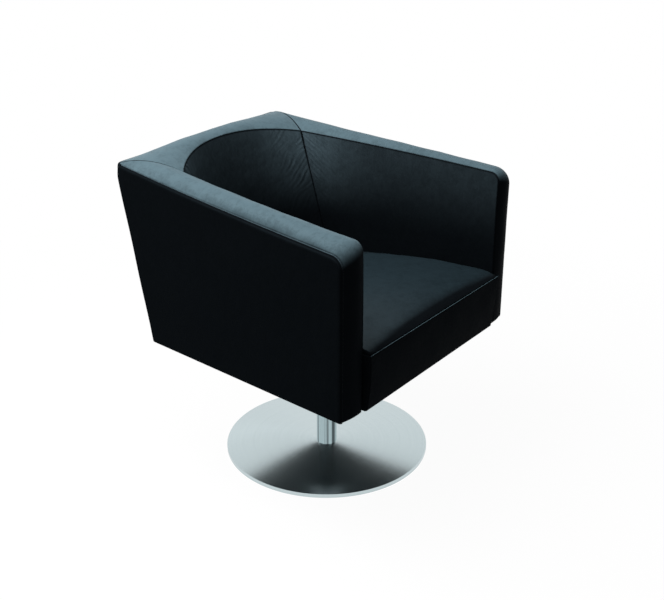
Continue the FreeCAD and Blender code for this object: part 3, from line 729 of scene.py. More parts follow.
@made_once
def waxed_thread(shade):
    """Waxed dark thread: fine diagonal twist in its bump."""
    twist = shade.noise(shade.place((1, 1, 1), (0.5, 0.6, 0.4)), 2500, 1)
    colour = shade.colour(twist, (0.005, 0.006, 0.007), (0.014, 0.018, 0.021))
    normal = shade.bump(twist, 0.2 * MM, 0.6)
    return shade.finish(shade.surface(colour, 0.6, normal, {"Specular IOR Level": 0.06}))


def axis_distance(shade):
    """Distance from the swivel axis."""
    x, y, _ = shade.parts(shade.place())
    return (x * x + y * y) ** 0.5


def ring_noise(shade, distance, scale):
    """Noise that changes only with the distance from the swivel axis, as circular brushing does."""
    return shade.noise(shade.add("ShaderNodeCombineXYZ", sockets={0: distance}), scale, 2, 0.7)


@made_once
def brushed_in_rings(shade):
    """Steel brushed in rings: its gloss is drawn out across them, into bright and dark sectors."""
    look = bpy.context.scene.armchair_steel
    distance = axis_distance(shade)
    fine = ring_noise(shade, distance, 1800)
    broad = ring_noise(shade, distance, 160)
    colour = shade.colour((fine * 0.5 + broad * 0.5).clamped(), look.colour, look.light_colour)
    roughness = look.roughness + (broad - 0.5) * 0.05 + (fine - 0.5) * 0.05
    lines = shade.bump(fine, 0.04 * MM, 0.25)
    normal = shade.bump(distance * -look.dishing, 1.0, normal=lines)
    return shade.finish(shade.surface(
        colour, roughness.clamped(), normal, {"Metallic": 1.0, "Anisotropic": look.brushing}))


@made_once
def brushed_tube_painted_reflections(shade):
    """Steel brushed lengthwise: fine upright lines, and broad upright bands of painted reflection,
    dark and light.
    """
    look = bpy.context.scene.armchair_steel
    lines = shade.noise(shade.place((2600, 2600, 6)), 1, 2, 0.7)
    # Painted reflection: the bands mix a dark steel and the light one, as the tube would mirror
    # dark and bright surroundings.
    bands = shade.noise(shade.place((95, 95, 0.3)), 1, 1, 0.4)
    dark = tuple(value * 0.25 for value in look.colour)
    share = shade.ramp(bands + (lines - 0.5) * 0.1, 0.36, 0.56)
    roughness = look.roughness + (lines - 0.5) * 0.1
    return shade.finish(shade.surface(
        shade.colour(share, dark, look.light_colour), roughness.clamped(),
        shade.bump(lines, 0.03 * MM, 0.2), {"Metallic": 1.0}))


@made_once
def wood(shade, first, second, stretch):
    """Stained wood: growth rings stretched along the board, with short dark pores."""
    rings = shade.noise(shade.place(stretch), 14, 6, 0.6, 1.5)
    pores = shade.noise(shade.place(tuple(8 * value for value in stretch)), 30, 2)
    colour = shade.colour((rings * 0.7 + pores * 0.3).clamped(), first, second)
    normal = shade.bump(rings + pores * 0.5, 0.4 * MM, 0.4)
    return shade.finish(shade.surface(colour, 0.62 + (pores - 0.5) * 0.2, normal))


@made_once
def woven(shade, first, second, scale):
    """Woven cloth: two crossed sets of sine ribs, over and under each other."""
    x, y, z = shade.parts(shade.place())
    warp = ((x + z) * scale).math("SINE")
    weft = (y * scale).math("SINE")
    weave = (warp * weft) * 0.5 + 0.5
    fuzz = shade.noise(shade.place(), 500, 3)
    colour = shade.colour((weave * 0.6 + fuzz * 0.4).clamped(), first, second)
    return shade.finish(shade.surface(colour, 0.9, shade.bump(weave, 0.4 * MM, 0.7)))


@made_once
def hard(shade, first, second, metallic, roughness, scale):
    """Plain metal, paint, plastic or rubber: cloudy colour, uneven gloss and a fine surface."""
    clouds = shade.noise(shade.place(), scale, 4, 0.6)
    grain = shade.noise(shade.place(), scale * 12, 2)
    uneven = (roughness + (clouds - 0.5) * 0.2).clamped()
    return shade.finish(shade.surface(
        shade.colour(clouds, first, second), uneven, shade.bump(grain, 0.1 * MM, 0.3),
        {"Metallic": metallic}))


def colour_setting(name, description, default):
    """Property with a colour."""
    return FloatVectorProperty(name=name, description=description, subtype="COLOR",
                               default=default, min=0, max=1)


def share_setting(name, description, default):
    """Property with a share from 0 to 1."""
    return FloatProperty(name=name, description=description, subtype="FACTOR",
                         default=default, min=0, max=1)


def length_setting(name, description, default, least=0.0):
    """Property with a length in metres."""
    return FloatProperty(name=name, description=description, unit="LENGTH",
                         default=default, min=least)


class ArmchairLeather(bpy.types.PropertyGroup):
    """Colours and gloss of the leather, with the lighter colours of its painted light."""

    colour: colour_setting("Colour", "Leather on upright faces", (0.0046, 0.0062, 0.0078))
    # The taut, band and seat colours are painted light: lighter leather on upward faces, standing
    # in for the lamps' light there.
    taut_top_light_colour: colour_setting("Taut colour", "Leather of the outer panels where it turns up",
                                (0.020, 0.030, 0.036))
    band_top_light_colour: colour_setting("Rested colour", "Leather of the bands, where arms rest",
                                  (0.086, 0.134, 0.158))
    seat_top_light_colour: colour_setting("Seated colour", "Leather of the seat's top",
                                  (0.0125, 0.0215, 0.0270))
    # Painted light: lighter leather high on the inner panels and near their corners, for the light
    # from above and a highlight by the corners.
    high_inner_light_colour: colour_setting("Creased colour", "Leather high on the inner panels",
                                   (0.080, 0.118, 0.140))
    gloss_colour: colour_setting("Gloss colour", "Tint of what the leather mirrors",
                                 (0.60, 0.86, 0.97))
    roughness: share_setting("Roughness", "Bluntness of the gloss", 0.44)
    gloss: share_setting("Gloss", "Reflection of upright leather", 0.002)
    polish: share_setting("Polish", "Reflection of leather where arms rest", 0.03)
    seat_polish: share_setting("Seat polish", "Reflection of the seat's top", 0.10)
    mottle: share_setting("Mottle", "How light the dark patches stay", 0.86)
    grain: share_setting("Grain", "Strength of the grain's relief", 0.5)


class ArmchairSewing(bpy.types.PropertyGroup):
    """Sizes of the stitches and the welt."""

    row: length_setting("Row", "Distance of the stitches from the seam", 4.2 * MM)
    pitch: length_setting("Pitch", "Distance from stitch to stitch", 4.8 * MM, MM)
    length: length_setting("Length", "Length of a stitch", 3.3 * MM, 0.5 * MM)
    radius: length_setting("Thread radius", "Radius of the thread", 0.38 * MM, 0.1 * MM)
    valley: length_setting("Valley", "Depth of the valley that the stitches pull", 0.6 * MM)
    welt: length_setting("Welt radius", "Radius of the welt on the seat's front seam",
                         0.75 * MM, 0.1 * MM)


class ArmchairPadding(bpy.types.PropertyGroup):
    """Depths of the padding's unevenness."""

    unevenness: length_setting("Unevenness", "Depth of the padding's long waves", 0.7 * MM)
    pucker: length_setting("Pucker", "Depth of the puckers beside a sewn seam", 0.25 * MM)
    wrinkle: length_setting("Wrinkle", "Depth of the wrinkles beside the corner seams", 1.1 * MM)
    crease: length_setting("Crease", "Depth of the creases in worn leather", 0.5 * MM)
    swell: length_setting("Swell", "How far the seat cushion may swell", 7 * MM)


class ArmchairSteel(bpy.types.PropertyGroup):
    """Colours and brushing of the stainless steel."""

    colour: colour_setting("Colour", "Deeper colour of the steel", (0.44, 0.52, 0.54))
    light_colour: colour_setting("Light colour", "Lighter colour of the steel", (0.62, 0.71, 0.73))
    roughness: share_setting("Roughness", "Bluntness of the steel's gloss", 0.15)
    dishing: share_setting("Dishing", "Slope that the brushing leaves on the disc", 0.16)
    brushing: share_setting("Brushing", "How much the circular brushing draws the gloss out", 0.95)


class ArmchairStudio(bpy.types.PropertyGroup):
    """Light of the plain studio."""

    lamp_power: FloatProperty(name="Lamp power", description="Power of the lamp behind the chair",
                              default=85, min=0, unit="POWER")
    fill_power: FloatProperty(name="Fill power", description="Power of the lamp over the seat",
                              default=14, min=0, unit="POWER")
    sky: share_setting("Sky", "Level of the light from all round", 0.18)
    floor_glow: share_setting("Floor glow", "Share of the floor that no shadow darkens", 0.96)
    floor_tone: share_setting("Floor tone", "Level of light that the floor throws back", 0.45)


def band_mesh(stations):
    """Band as a closed pad, crowned and rolled into its seams, with its marks."""
    sewing = bpy.context.scene.armchair_sewing
    points, normal, from_outer, from_inner = band_points(stations, eased(60, 0.3)[None, :])
    mitre = mitre_distance(points)
    edge = np.minimum(from_outer, from_inner)
    sink = roll(from_outer, TIGHT_ROLL, TUCK)
    sink += dip(from_outer, sewing.row, STITCH_PULL, sewing.valley)
    sink += inner_roll(from_inner) + roll(mitre, MITRE_ROLL, MITRE_TUCK)
    sink += roll(points[..., 2] - UNDERSIDE_Z, HEM_ROLL, HEM_ROLL)
    fade = within(edge, BAND_HOLD) * within(mitre, SMALL_HOLD)
    near = np.exp(-from_outer / BAND_PUCKER) * within(from_outer, 2 * MM)
    sink -= swelling(points, (3, 5), (0.09, 0.014), fade, near)
    front = corner_rounded(points - normal * sink[..., None])
    depth = EDGE_THICKNESS + np.minimum(edge, PAD_THICKNESS)
    back = corner_rounded(points - normal * (sink + depth)[..., None])
    return slab(front, back), seam_marks(np.minimum(edge, 2 * mitre))


class ARMCHAIR_OT_bands(bpy.types.Operator):
    """Band of leather over both arms, down their fronts and over the back"""

    bl_idname = "armchair.bands"
    bl_label = "Bands"

    def execute(self, context):
        right, marks = band_mesh(side_stations())
        upholstered_pair("arm_band", right, "rim", "rested", marks)
        back, marks = band_mesh(back_stations())
        upholstered("back_band", back, "rim_back", "rested", marks)
        return {"FINISHED"}


def rear_panel_half(z):
    """Half width of the rear panel, between the side panels' laps."""
    return corner_centre(CORNER_ROUND, rear_y(z))[0] - CORNER_LAP


def side_surface(rows=110, columns=130, turn_count=12, lap_count=12):
    """Right side: a patch in the side's plane, then a round corner and a lap on the back."""
    path, length, middle = arm_seam(
        OUTER_SEAM_FRONT_Y, lambda y: np.minimum(outer_seam_z(y), REAR_SEAM_Z),
        OUTER_SEAM_RADIUS, REAR_TOP_Y, UNDERSIDE_Z, 200)
    z = UNDERSIDE_Z + (REAR_SEAM_Z - UNDERSIDE_Z) * eased(rows)
    tangent_back = corner_radius(z) * (1 - math.sin(TAPER))
    rear = np.stack([rear_y(z) - tangent_back, z], -1)
    last = length[-1] - tangent_back[-1]
    flat = under_seam(path, middle, last, rear, eased(columns), eased(rows))
    side = stack(outer_half(flat[..., 0]), flat[..., 0], flat[..., 1])
    z = z[:, None]
    radius = corner_radius(z)
    centre_x, centre_y = corner_centre(radius, rear_y(z))
    turn = np.linspace(TAPER, math.pi / 2, turn_count)[None, 1:]
    corner = stack(centre_x + radius * np.cos(turn), centre_y + radius * np.sin(turn), z)
    lap_share = (1 - crowded(lap_count)[None, ::-1])[:, 1:]
    lap_length = centre_x - rear_panel_half(z)
    lap = stack(centre_x - lap_length * lap_share, rear_y(z), z)
    surface = np.concatenate([side, corner, lap], axis=1)
    above = np.repeat(REAR_SEAM_Z - z, turn_count + lap_count - 2, axis=1)
    seam = np.concatenate([line_distance(flat, path), above], axis=1)
    end = np.full(surface.shape[:2], 1.0)
    end[:, 1 - lap_count:] = lap_length * (1 - lap_share)
    return surface, seam, end


def seam_roll(distance):
    """Roll of an outer panel into its seam: a broad shoulder and a tight tuck."""
    return roll(distance, SHOULDER_DROP, SHOULDER_INSET) + roll(distance, TIGHT_ROLL, TUCK)


def inner_roll(distance):
    """Roll of an inner panel into its seam."""
    return roll(distance, INNER_ROLL, INNER_TUCK)


def within(distance, length):
    """0 at an edge, rising in a line to 1 at a length from it."""
    return np.clip(distance / length, 0, 1)


def swelling(surface, seeds, lengths, fade, near, bulge=0.0):
    """How far the padding stands out: a bulge and long waves that fade at the edges, and short
    puckers near the seams. Seeds and lengths are the waves' and the puckers'."""
    padding = bpy.context.scene.armchair_padding
    long_waves, puckers = (waves(surface, *pair) for pair in zip(lengths, seeds))
    return padding.unevenness * fade * (bulge + long_waves) + padding.pucker * near * puckers


class ARMCHAIR_OT_side_panels(bpy.types.Operator):
    """Outer panels of both arms, wrapped round the rear corners"""

    bl_idname = "armchair.side_panels"
    bl_label = "Side panels"

    def execute(self, context):
        surface, seam, end = side_surface()
        hem = surface[..., 2] - UNDERSIDE_Z
        edge = np.minimum(np.minimum(seam, end), hem)
        sink = seam_roll(seam) + roll(hem, HEM_ROLL, HEM_ROLL) + roll(end, TIGHT_ROLL, TUCK)
        near = np.exp(-seam / PANEL_PUCKER) * within(seam, 3 * MM)
        sink -= swelling(surface, (11, 13), (0.16, 0.016), within(edge, PANEL_HOLD), near)
        right = padded_slab(surface, (1, 0, 0), sink, edge)
        marks = seam_marks(np.minimum(seam, end))
        upholstered_pair("side_leather", right, "side_panel", "taut", marks)
        return {"FINISHED"}


class ARMCHAIR_OT_rear_panel(bpy.types.Operator):
    """Outer panel of the back, between the two side panels' laps"""

    bl_idname = "armchair.rear_panel"
    bl_label = "Rear panel"

    def execute(self, context):
        z = UNDERSIDE_Z + (REAR_SEAM_Z - UNDERSIDE_Z) * eased(100)[:, None]
        half = rear_panel_half(z)
        surface = stack(half * (2 * eased(130)[None, :] - 1), rear_y(z), z)
        seam = REAR_SEAM_Z - surface[..., 2]
        side = half - np.abs(surface[..., 0])
        hem = surface[..., 2] - UNDERSIDE_Z
        sewn = np.minimum(seam, side)
        edge = np.minimum(sewn, hem)
        sink = seam_roll(seam) + roll(side, TIGHT_ROLL, TUCK) + roll(hem, HEM_ROLL, HEM_ROLL)
        near = np.exp(-sewn / PANEL_PUCKER)
        sink -= swelling(surface, (17, 19), (0.15, 0.016), within(edge, PANEL_HOLD), near, bulge=1)
        mesh = padded_slab(surface, (0, 1, 0), sink, edge)
        upholstered("rear_leather", mesh, "rear_panel", "taut", seam_marks(sewn))
        return {"FINISHED"}


def inner_arm_surface(rows=120, columns=150):
    """Right arm's inner face: a patch from the front seam to the corner seam, softly crowned."""
    path, length, middle = arm_seam(
        INNER_SEAM_FRONT_Y, inner_seam_z, INNER_SEAM_RADIUS, INNER_CORNER_Y, INNER_BOTTOM_Z, 160)
    z = INNER_BOTTOM_Z + (INNER_SEAM_CORNER_Z - INNER_BOTTOM_Z) * eased(rows)
    rear = np.stack([back_face(corner_angle(z), z)[:, 1], z], -1)
    flat = under_seam(path, middle, length[-1], rear, eased(columns), eased(rows))
    y, z = flat[..., 0], flat[..., 1]
    rise = np.clip((z - INNER_BOTTOM_Z) / (inner_seam_z(y) - INNER_BOTTOM_Z), 0, 1)
    surface = stack(inner_half(y) - sagged(0, 0, INNER_CROWN, rise), y, z)
    return surface, line_distance(flat, path), line_distance(flat, rear)


def corner_wrinkles(surface, corner, seed):
    """Slanting wrinkles that fade away from a corner seam: warped sines across the slant."""
    height = surface[..., 2]
    slant = height * 0.8 + corner * 0.75 + 6 * MM * waves(surface, 0.06, seed)
    first, second = (2 * np.pi * slant / length for length in WRINKLES)
    patches = np.clip(0.55 + 0.6 * waves(surface, 0.05, seed + 1), 0, 1)
    reach = np.exp(-(corner / WRINKLE_REACH) ** 1.5) * within(corner, 10 * MM)
    lines = np.sin(first) + 0.6 * np.sin(second + 1.3)
    return lines * patches * reach * within(height - 0.48, 0.1)


def inner_panel_light_share(surface, corner):
    """Painted light on the inner panels: it grows with the height and, like a bell curve, to the
    corner, standing in for light from above and a highlight by the corner.
    """
    return smooth((surface[..., 2] - 0.50) / 0.26) * (0.30 + 0.70 * np.exp(-(corner / 0.11) ** 2))


class ARMCHAIR_OT_inner_arm_panels(bpy.types.Operator):
    """Inner panels of both arms, from the front to the corner seam"""

    bl_idname = "armchair.inner_arm_panels"
    bl_label = "Inner arm panels"

    def execute(self, context):
        padding = context.scene.armchair_padding
        surface, seam, corner = inner_arm_surface()
        edge = np.minimum(seam, corner)
        fade = within(edge, SMALL_HOLD)
        sink = inner_roll(seam) + inner_roll(corner)
        sink -= swelling(surface, (23, 29), (0.12, 0.02), fade, np.exp(-edge / INNER_PUCKER))
        sink -= padding.wrinkle * 0.5 * corner_wrinkles(surface, corner, 31)
        sink += padding.crease * 0.6 * fade * creased(surface, 0.024, 61)
        right = padded_slab(surface, (-1, 0, 0), sink, edge)
        # The worn mark holds the panel's share of painted light.
        marks = seam_marks(edge, worn=inner_panel_light_share(surface, corner))
        upholstered_pair("inner_arm_leather", right, "inner_panel", "creased", marks)
        return {"FINISHED"}


class ARMCHAIR_OT_inner_back(bpy.types.Operator):
    """Inner back: ruled from its foot to the back's inner seam, wrinkled at the corners"""

    bl_idname = "armchair.inner_back"
    bl_label = "Inner back"

    def execute(self, context):
        padding = context.scene.armchair_padding
        s = 2 * eased(230, 0.5)[None, :] - 1
        t = eased(150, 0.4)[:, None]
        half_angle = corner_angle(INNER_BOTTOM_Z)
        foot = back_face(half_angle * s, INNER_BOTTOM_Z)
        top = back_curve(CORNER_ANGLE * s)
        surface = foot + (top - foot) * t[..., None]
        height = np.linalg.norm(surface - foot, axis=-1)
        seam = np.linalg.norm(top - surface, axis=-1)
        corner = FACE_RADIUS * half_angle * (1 - np.abs(s)) + 0 * t
        edge = np.minimum(seam, corner)
        fade = within(edge, PANEL_HOLD)
        near = np.exp(-edge / INNER_PUCKER)
        sink = inner_roll(seam) + inner_roll(corner)
        sink -= swelling(surface, (37, 41), (0.11, 0.02), fade, near, bulge=1)
        sink -= padding.wrinkle * corner_wrinkles(surface, corner, 43)
        sink += padding.crease * fade * creased(surface, 0.022, 67)
        mesh = padded_slab(surface, (0, -1, 0), sink, np.minimum(edge, height))
        # The worn mark holds the panel's share of painted light.
        marks = seam_marks(edge, worn=inner_panel_light_share(surface, corner))
        upholstered("inner_back_leather", mesh, "inner_back", "creased", marks)
        return {"FINISHED"}


def cushion_height(x, y, half):
    """Top of the seat: a quick rise behind the seam, a crown across, and a fall to the rear."""
    back = np.maximum(y - SEAM_Y, 0)
    edge = SEAM_SWELL * (1 - np.exp(-back / SWELL_LENGTH))
    edge -= REAR_FALL * np.clip((back - FALL_START) / FALL_LENGTH, 0, 2) ** FALL_POWER
    crown = SEAM_CROWN + CROWN_RISE * (1 - np.exp(-back / CROWN_LENGTH))
    crown -= CROWN_FADE * np.clip((back - FADE_START) / FADE_LENGTH, 0, 2) ** 2
    return SEAM_Z + edge + crown * (1 - np.clip(np.abs(x) / half, 0, 1) ** 2)


def cushion_half(y):
    """Half width of the cushion between the arms' pads."""
    return inner_half(np.maximum(y, INNER_SEAM_FRONT_Y)) - INNER_CROWN - CUSHION_GAP


def cushion_grids(rows, columns, shrink):
    """Top and bottom of the seat cushion: a patch in plan, its rear edge on the back's curve."""
    z = SEAM_Z
    angle = corner_angle(z)
    rear_arc = back_face(angle * np.linspace(-1, 1, columns), z, CUSHION_GAP + shrink)[:, :2]
    y = np.linspace(SEAM_Y, rear_arc[0, 1], rows)
    half = cushion_half(y) - shrink
    right = np.stack([half, y], -1)
    left = right * [-1, 1]
    front = np.stack([np.linspace(-half[0], half[0], columns), np.full(columns, SEAM_Y)], -1)
    rear = rear_arc * [half[-1] / rear_arc[-1, 0], 1]
    flat = patch(front, rear, left, right)
    x, y = flat[..., 0], flat[..., 1]
    half = cushion_half(y)
    side = half - np.abs(x)
    rear_gap = np.linalg.norm(flat - flat[-1:], axis=-1)
    top = cushion_height(x, y, half) - shrink
    top -= roll(side, SIDE_ROLL, SIDE_TUCK) + roll(rear_gap, BACK_ROLL, BACK_TUCK)
    tuck = np.clip(1 - (y - SEAM_Y) / 0.09, 0, 1) * 0.035
    bottom = stack(x * 0.99, y + tuck, CUSHION_BOTTOM_Z)
    return stack(x, y, top), bottom


def positions(mesh):
    """A mesh's vertices, one row each."""
    numbers = np.empty(len(mesh.vertices) * 3)
    mesh.vertices.foreach_get("co", numbers)
    return numbers.reshape(-1, 3)


def swollen(piece, settings):
    """Cushion filled by cloth simulation: pinned below and at its seam, its swell capped."""
    start = positions(piece.data)
    pinned = (start[:, 2] < CUSHION_BOTTOM_Z + 12 * MM) | (start[:, 1] < SEAM_Y + 7 * MM)
    group = piece.vertex_groups.new(name="held")
    group.add(np.flatnonzero(pinned).tolist(), 1.0, "REPLACE")
    cloth = piece.modifiers.new("Filling", "CLOTH")
    for name, value in CLOTH.items():
        setattr(cloth.settings, name, value)
    cloth.settings.effector_weights.gravity = 0
    cloth.collision_settings.use_collision = False
    cloth.collision_settings.use_self_collision = False
    cloth.point_cache.frame_end = CLOTH_STEPS
    scene = bpy.context.scene
    for number in range(1, CLOTH_STEPS + 1):
        scene.frame_set(number)
    filled = piece.evaluated_get(bpy.context.evaluated_depsgraph_get()).data
    shift = positions(filled) - start
    piece.modifiers.remove(cloth)
    piece.vertex_groups.remove(group)
    scene.frame_set(1)
    far = np.linalg.norm(shift, axis=-1, keepdims=True)
    shift *= np.minimum(1, settings.swell / np.maximum(far, 1e-9))
    return start + shift


def cushion_settled(points):
    """Cushion kept inside the arms and the back, its front eased into the unfilled form."""
    x, y, z = points.T
    half = inner_half(np.maximum(y, INNER_SEAM_FRONT_Y)) - CUSHION_GAP
    x = np.clip(x, -half, half)
    angle = np.arcsin(np.clip(x / FACE_RADIUS, -1, 1))
    y = np.minimum(y, back_face(angle, z, 0.5 * MM)[:, 1])
    share = (1 - smooth((y - SEAM_Y) / FRONT_HOLD)) * (z > SEAM_Z - 6 * MM)
    sides = roll(np.maximum(half - np.abs(x), 0), SIDE_ROLL, SIDE_TUCK)
    sides *= smooth((y - SEAM_Y) / (40 * MM))
    z = z + (cushion_height(x, y, half) - sides - z) * share
    y = np.maximum(y, SEAM_Y)
    settled = stack(x, y, z)
    return settled + [0, 0, 1] * (0.35 * MM * waves(settled, 0.07, 47) * (1 - share))[:, None]


class ARMCHAIR_OT_seat_cushion(bpy.types.Operator):
    """Seat cushion, filled by a cloth simulation"""

    bl_idname = "armchair.seat_cushion"
    bl_label = "Seat cushion"

    def execute(self, context):
        shrink = 3 * MM
        grids = cushion_grids(80, 80, shrink)
        piece = new_piece("seat_cushion_leather", slab(*grids), leather("seated"), "seat")
        remesh = piece.modifiers.new("Even mesh", "REMESH")
        remesh.mode = "VOXEL"
        remesh.voxel_size = 6 * MM
        even = bpy.data.meshes.new_from_object(
            piece.evaluated_get(context.evaluated_depsgraph_get()))
        piece.modifiers.remove(remesh)
        piece.data = even
        points = swollen(piece, context.scene.armchair_padding)
        even.vertices.foreach_set("co", cushion_settled(points).ravel())
        even.polygons.foreach_set("use_smooth", np.ones(len(even.polygons), dtype=bool))
        even.update()
        finer = piece.modifiers.new("Smooth", "SUBSURF")
        finer.levels = finer.render_levels = 1
        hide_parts("seat_cushion")
        return {"FINISHED"}


def seat_front_surface(rows=70):
    """Boxed front of the seat: each level runs forward, round a corner, across and back again."""
    t = eased(rows)[:, None]
    z = FRONT_FOOT_Z + (SEAM_Z - FRONT_FOOT_Z) * t
    half = sagged(FRONT_FOOT_HALF, SEAM_HALF, -2.2 * MM, t)
    face_y = sagged(FRONT_FOOT_Y, SEAM_Y, -FRONT_BELLY, t)
    radius = 5 * MM
    turn = np.linspace(0, math.pi / 2, 10)[None, :]
    side = (1 - crowded(RETURN_COLUMNS)[None, ::-1])[:, :-1]
    right_x = np.concatenate([half + 0 * side, half - radius + radius * np.cos(turn)], axis=1)
    right_y = np.concatenate([face_y + SEAT_RETURN + (radius - SEAT_RETURN) * side,
                              face_y + radius - radius * np.sin(turn)], axis=1)
    across = (2 * eased(110, 0.25) - 1)[None, 1:-1]
    x = np.concatenate([right_x, -(half - radius) * across, -right_x[:, ::-1]], axis=1)
    y = np.concatenate([right_y, face_y + 0 * across, right_y[:, ::-1]], axis=1)
    return stack(x, y, z)


class ARMCHAIR_OT_seat_front(bpy.types.Operator):
    """Boxed front of the seat with its corner seams, and the welt along its top"""

    bl_idname = "armchair.seat_front"
    bl_label = "Seat front"

    def execute(self, context):
        surface = seat_front_surface()
        right, left = surface[:, [CORNER_COLUMN]], surface[:, [-1 - CORNER_COLUMN]]
        corner = np.minimum(*(np.linalg.norm(surface - seam, axis=-1) for seam in (right, left)))
        top = SEAM_Z - surface[..., 2]
        hem = surface[..., 2] - FRONT_FOOT_Z
        edge = np.minimum(top, hem)
        sewn = np.minimum(top, corner)
        sink = roll(top, TIGHT_ROLL, TUCK) + roll(hem, HEM_ROLL, HEM_ROLL)
        sink += roll(corner, BOX_ROLL, BOX_TUCK)
        fade = within(np.minimum(edge, corner), SMALL_HOLD)
        near = np.exp(-sewn / BAND_PUCKER)
        sink -= swelling(surface, (53, 59), (0.09, 0.015), fade, near, bulge=0.6)
        mesh = padded_slab(surface, (0, -1, 0), sink, edge)
        upholstered("seat_front_leather", mesh, "seat_front_panel", "taut", seam_marks(sewn))
        reach = SEAM_HALF - 1 * MM
        x = np.linspace(-reach, reach, 220)
        path = stack(x, SEAM_Y - 0.2 * MM, SEAM_Z + 0.6 * MM)
        welt = tube(path, context.scene.armchair_sewing.welt)
        new_piece("seat_welt", welt, leather("rested"), "seat")
        return {"FINISHED"}


def tube(path, radius, sides=10):
    """Round bar along a path that runs across the seat, its ends drawn together and closed."""
    angle = np.linspace(0, 2 * np.pi, sides, endpoint=False)
    share = np.linspace(0, 1, len(path))
    taper = np.sqrt(1 - np.clip(1 - np.minimum(share, 1 - share) * len(path) / 3, 0, 0.98) ** 2)
    ring = stack(0, np.cos(angle), np.sin(angle))[None] * (radius * taper)[:, None, None]
    vertices = (path[:, None] + ring).reshape(-1, 3)
    index = np.arange(len(path) * sides).reshape(len(path), sides)
    faces = quads(np.concatenate([index, index[:, :1]], axis=1))
    return closed_ends(vertices, faces, index)


def closed_ends(vertices, faces, index):
    """Both ends of a tube closed by four-sided fans round a middle point."""
    count = len(vertices)
    ends = []
    for ring, turned in ((index[0], False), (index[-1], True)):
        after = np.roll(ring, -1)
        middle = np.full(len(ring), count + len(ends))
        fan = np.stack([ring, after, middle, middle], axis=-1)
        ends.append((vertices[ring].mean(axis=0), fan[:, [1, 0, 2, 3]] if turned else fan))
    vertices = np.concatenate([vertices] + [middle[None] for middle, _ in ends])
    triangles = np.concatenate([fan for _, fan in ends])
    return vertices, np.concatenate([faces, triangles])


def stitch_row(path, normal, sewing):
    """Stitches along a path: one small capsule each, half sunk in the leather."""
    sides, rings = 6, 5
    length = path_length(path)
    places = np.arange(sewing.pitch / 2, length[-1], sewing.pitch)
    centre = along_path(path, places)
    way = unit(along_path(path, places + 0.5 * MM) - along_path(path, places - 0.5 * MM))
    up = unit(np.stack([np.interp(places, length, normal[:, i]) for i in range(3)], -1))
    side = unit(np.cross(way, up))
    u = np.linspace(-1, 1, rings)
    swell = np.sqrt(1 - (0.92 * u) ** 4)[:, None]
    angle = np.linspace(0, 2 * np.pi, sides, endpoint=False)[None]
    across = swell * np.cos(angle) * sewing.radius
    rise = (swell * np.sin(angle) + 0.35 - 0.9 * u[:, None] ** 2) * sewing.radius
    points = (centre[:, None, None] + way[:, None, None] * (u[:, None] + 0 * angle)[None, ..., None]
              * sewing.length / 2 + side[:, None, None] * across[None, ..., None]
              + up[:, None, None] * rise[None, ..., None])
    index = np.arange(rings * sides).reshape(rings, sides)
    body = quads(np.concatenate([index, index[:, :1]], axis=1))
    ends = []
    for ring in (index[0][::-1], index[-1]):
        ends += [[ring[0], ring[1], ring[2], ring[3]], [ring[0], ring[3], ring[4], ring[5]]]
    one = outward(points[0].reshape(-1, 3), np.concatenate([body, np.array(ends)]))
    faces = one[None] + (np.arange(len(places)) * rings * sides)[:, None, None]
    return points.reshape(-1, 3), faces.reshape(-1, 4)


def band_row(stations, distance, sink):
    """Path and normals on the band at a distance from its outer seam."""
    outer, inner, way, crown = stations
    along, up, radius, half = band_arc(outer, inner, way, crown)
    points, normal, _, _ = band_points(stations, (distance / (2 * radius * half))[:, None])
    return corner_rounded(points - normal * sink)[:, 0], normal[:, 0]


class ARMCHAIR_OT_stitching(bpy.types.Operator):
    """Row of stitches on the bands, beside the outer seam"""

    bl_idname = "armchair.stitching"
    bl_label = "Stitching"

    def execute(self, context):
        sewing = context.scene.armchair_sewing
        right = band_row(side_stations(), sewing.row, sewing.valley)
        left = (right[0] * [-1, 1, 1], right[1] * [-1, 1, 1])
        back = band_row(back_stations(), sewing.row, sewing.valley)
        rows = [stitch_row(*row, sewing) for row in (right, left, back)]
        for name, row in zip(("right", "left", "back"), rows):
            piece = new_piece("stitches_" + name, row, waxed_thread("waxed_thread"), "seat", 70)
        return {"FINISHED"}


def dress(node, material):
    """Material put in a CAD node's slots."""
    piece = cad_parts[node]
    if not piece.material_slots:
        piece.data.materials.append(material)
    for slot in piece.material_slots:
        slot.material = material


class ARMCHAIR_OT_foot(bpy.types.Operator):
    """Brushed stainless steel on the disc and the post"""

    bl_idname = "armchair.foot"
    bl_label = "Foot"

    def execute(self, context):
        dress("base_cover", brushed_in_rings("circular_brushed_stainless"))
        dress("post_tube", brushed_tube_painted_reflections("brushed_stainless_tube"))
        return {"FINISHED"}


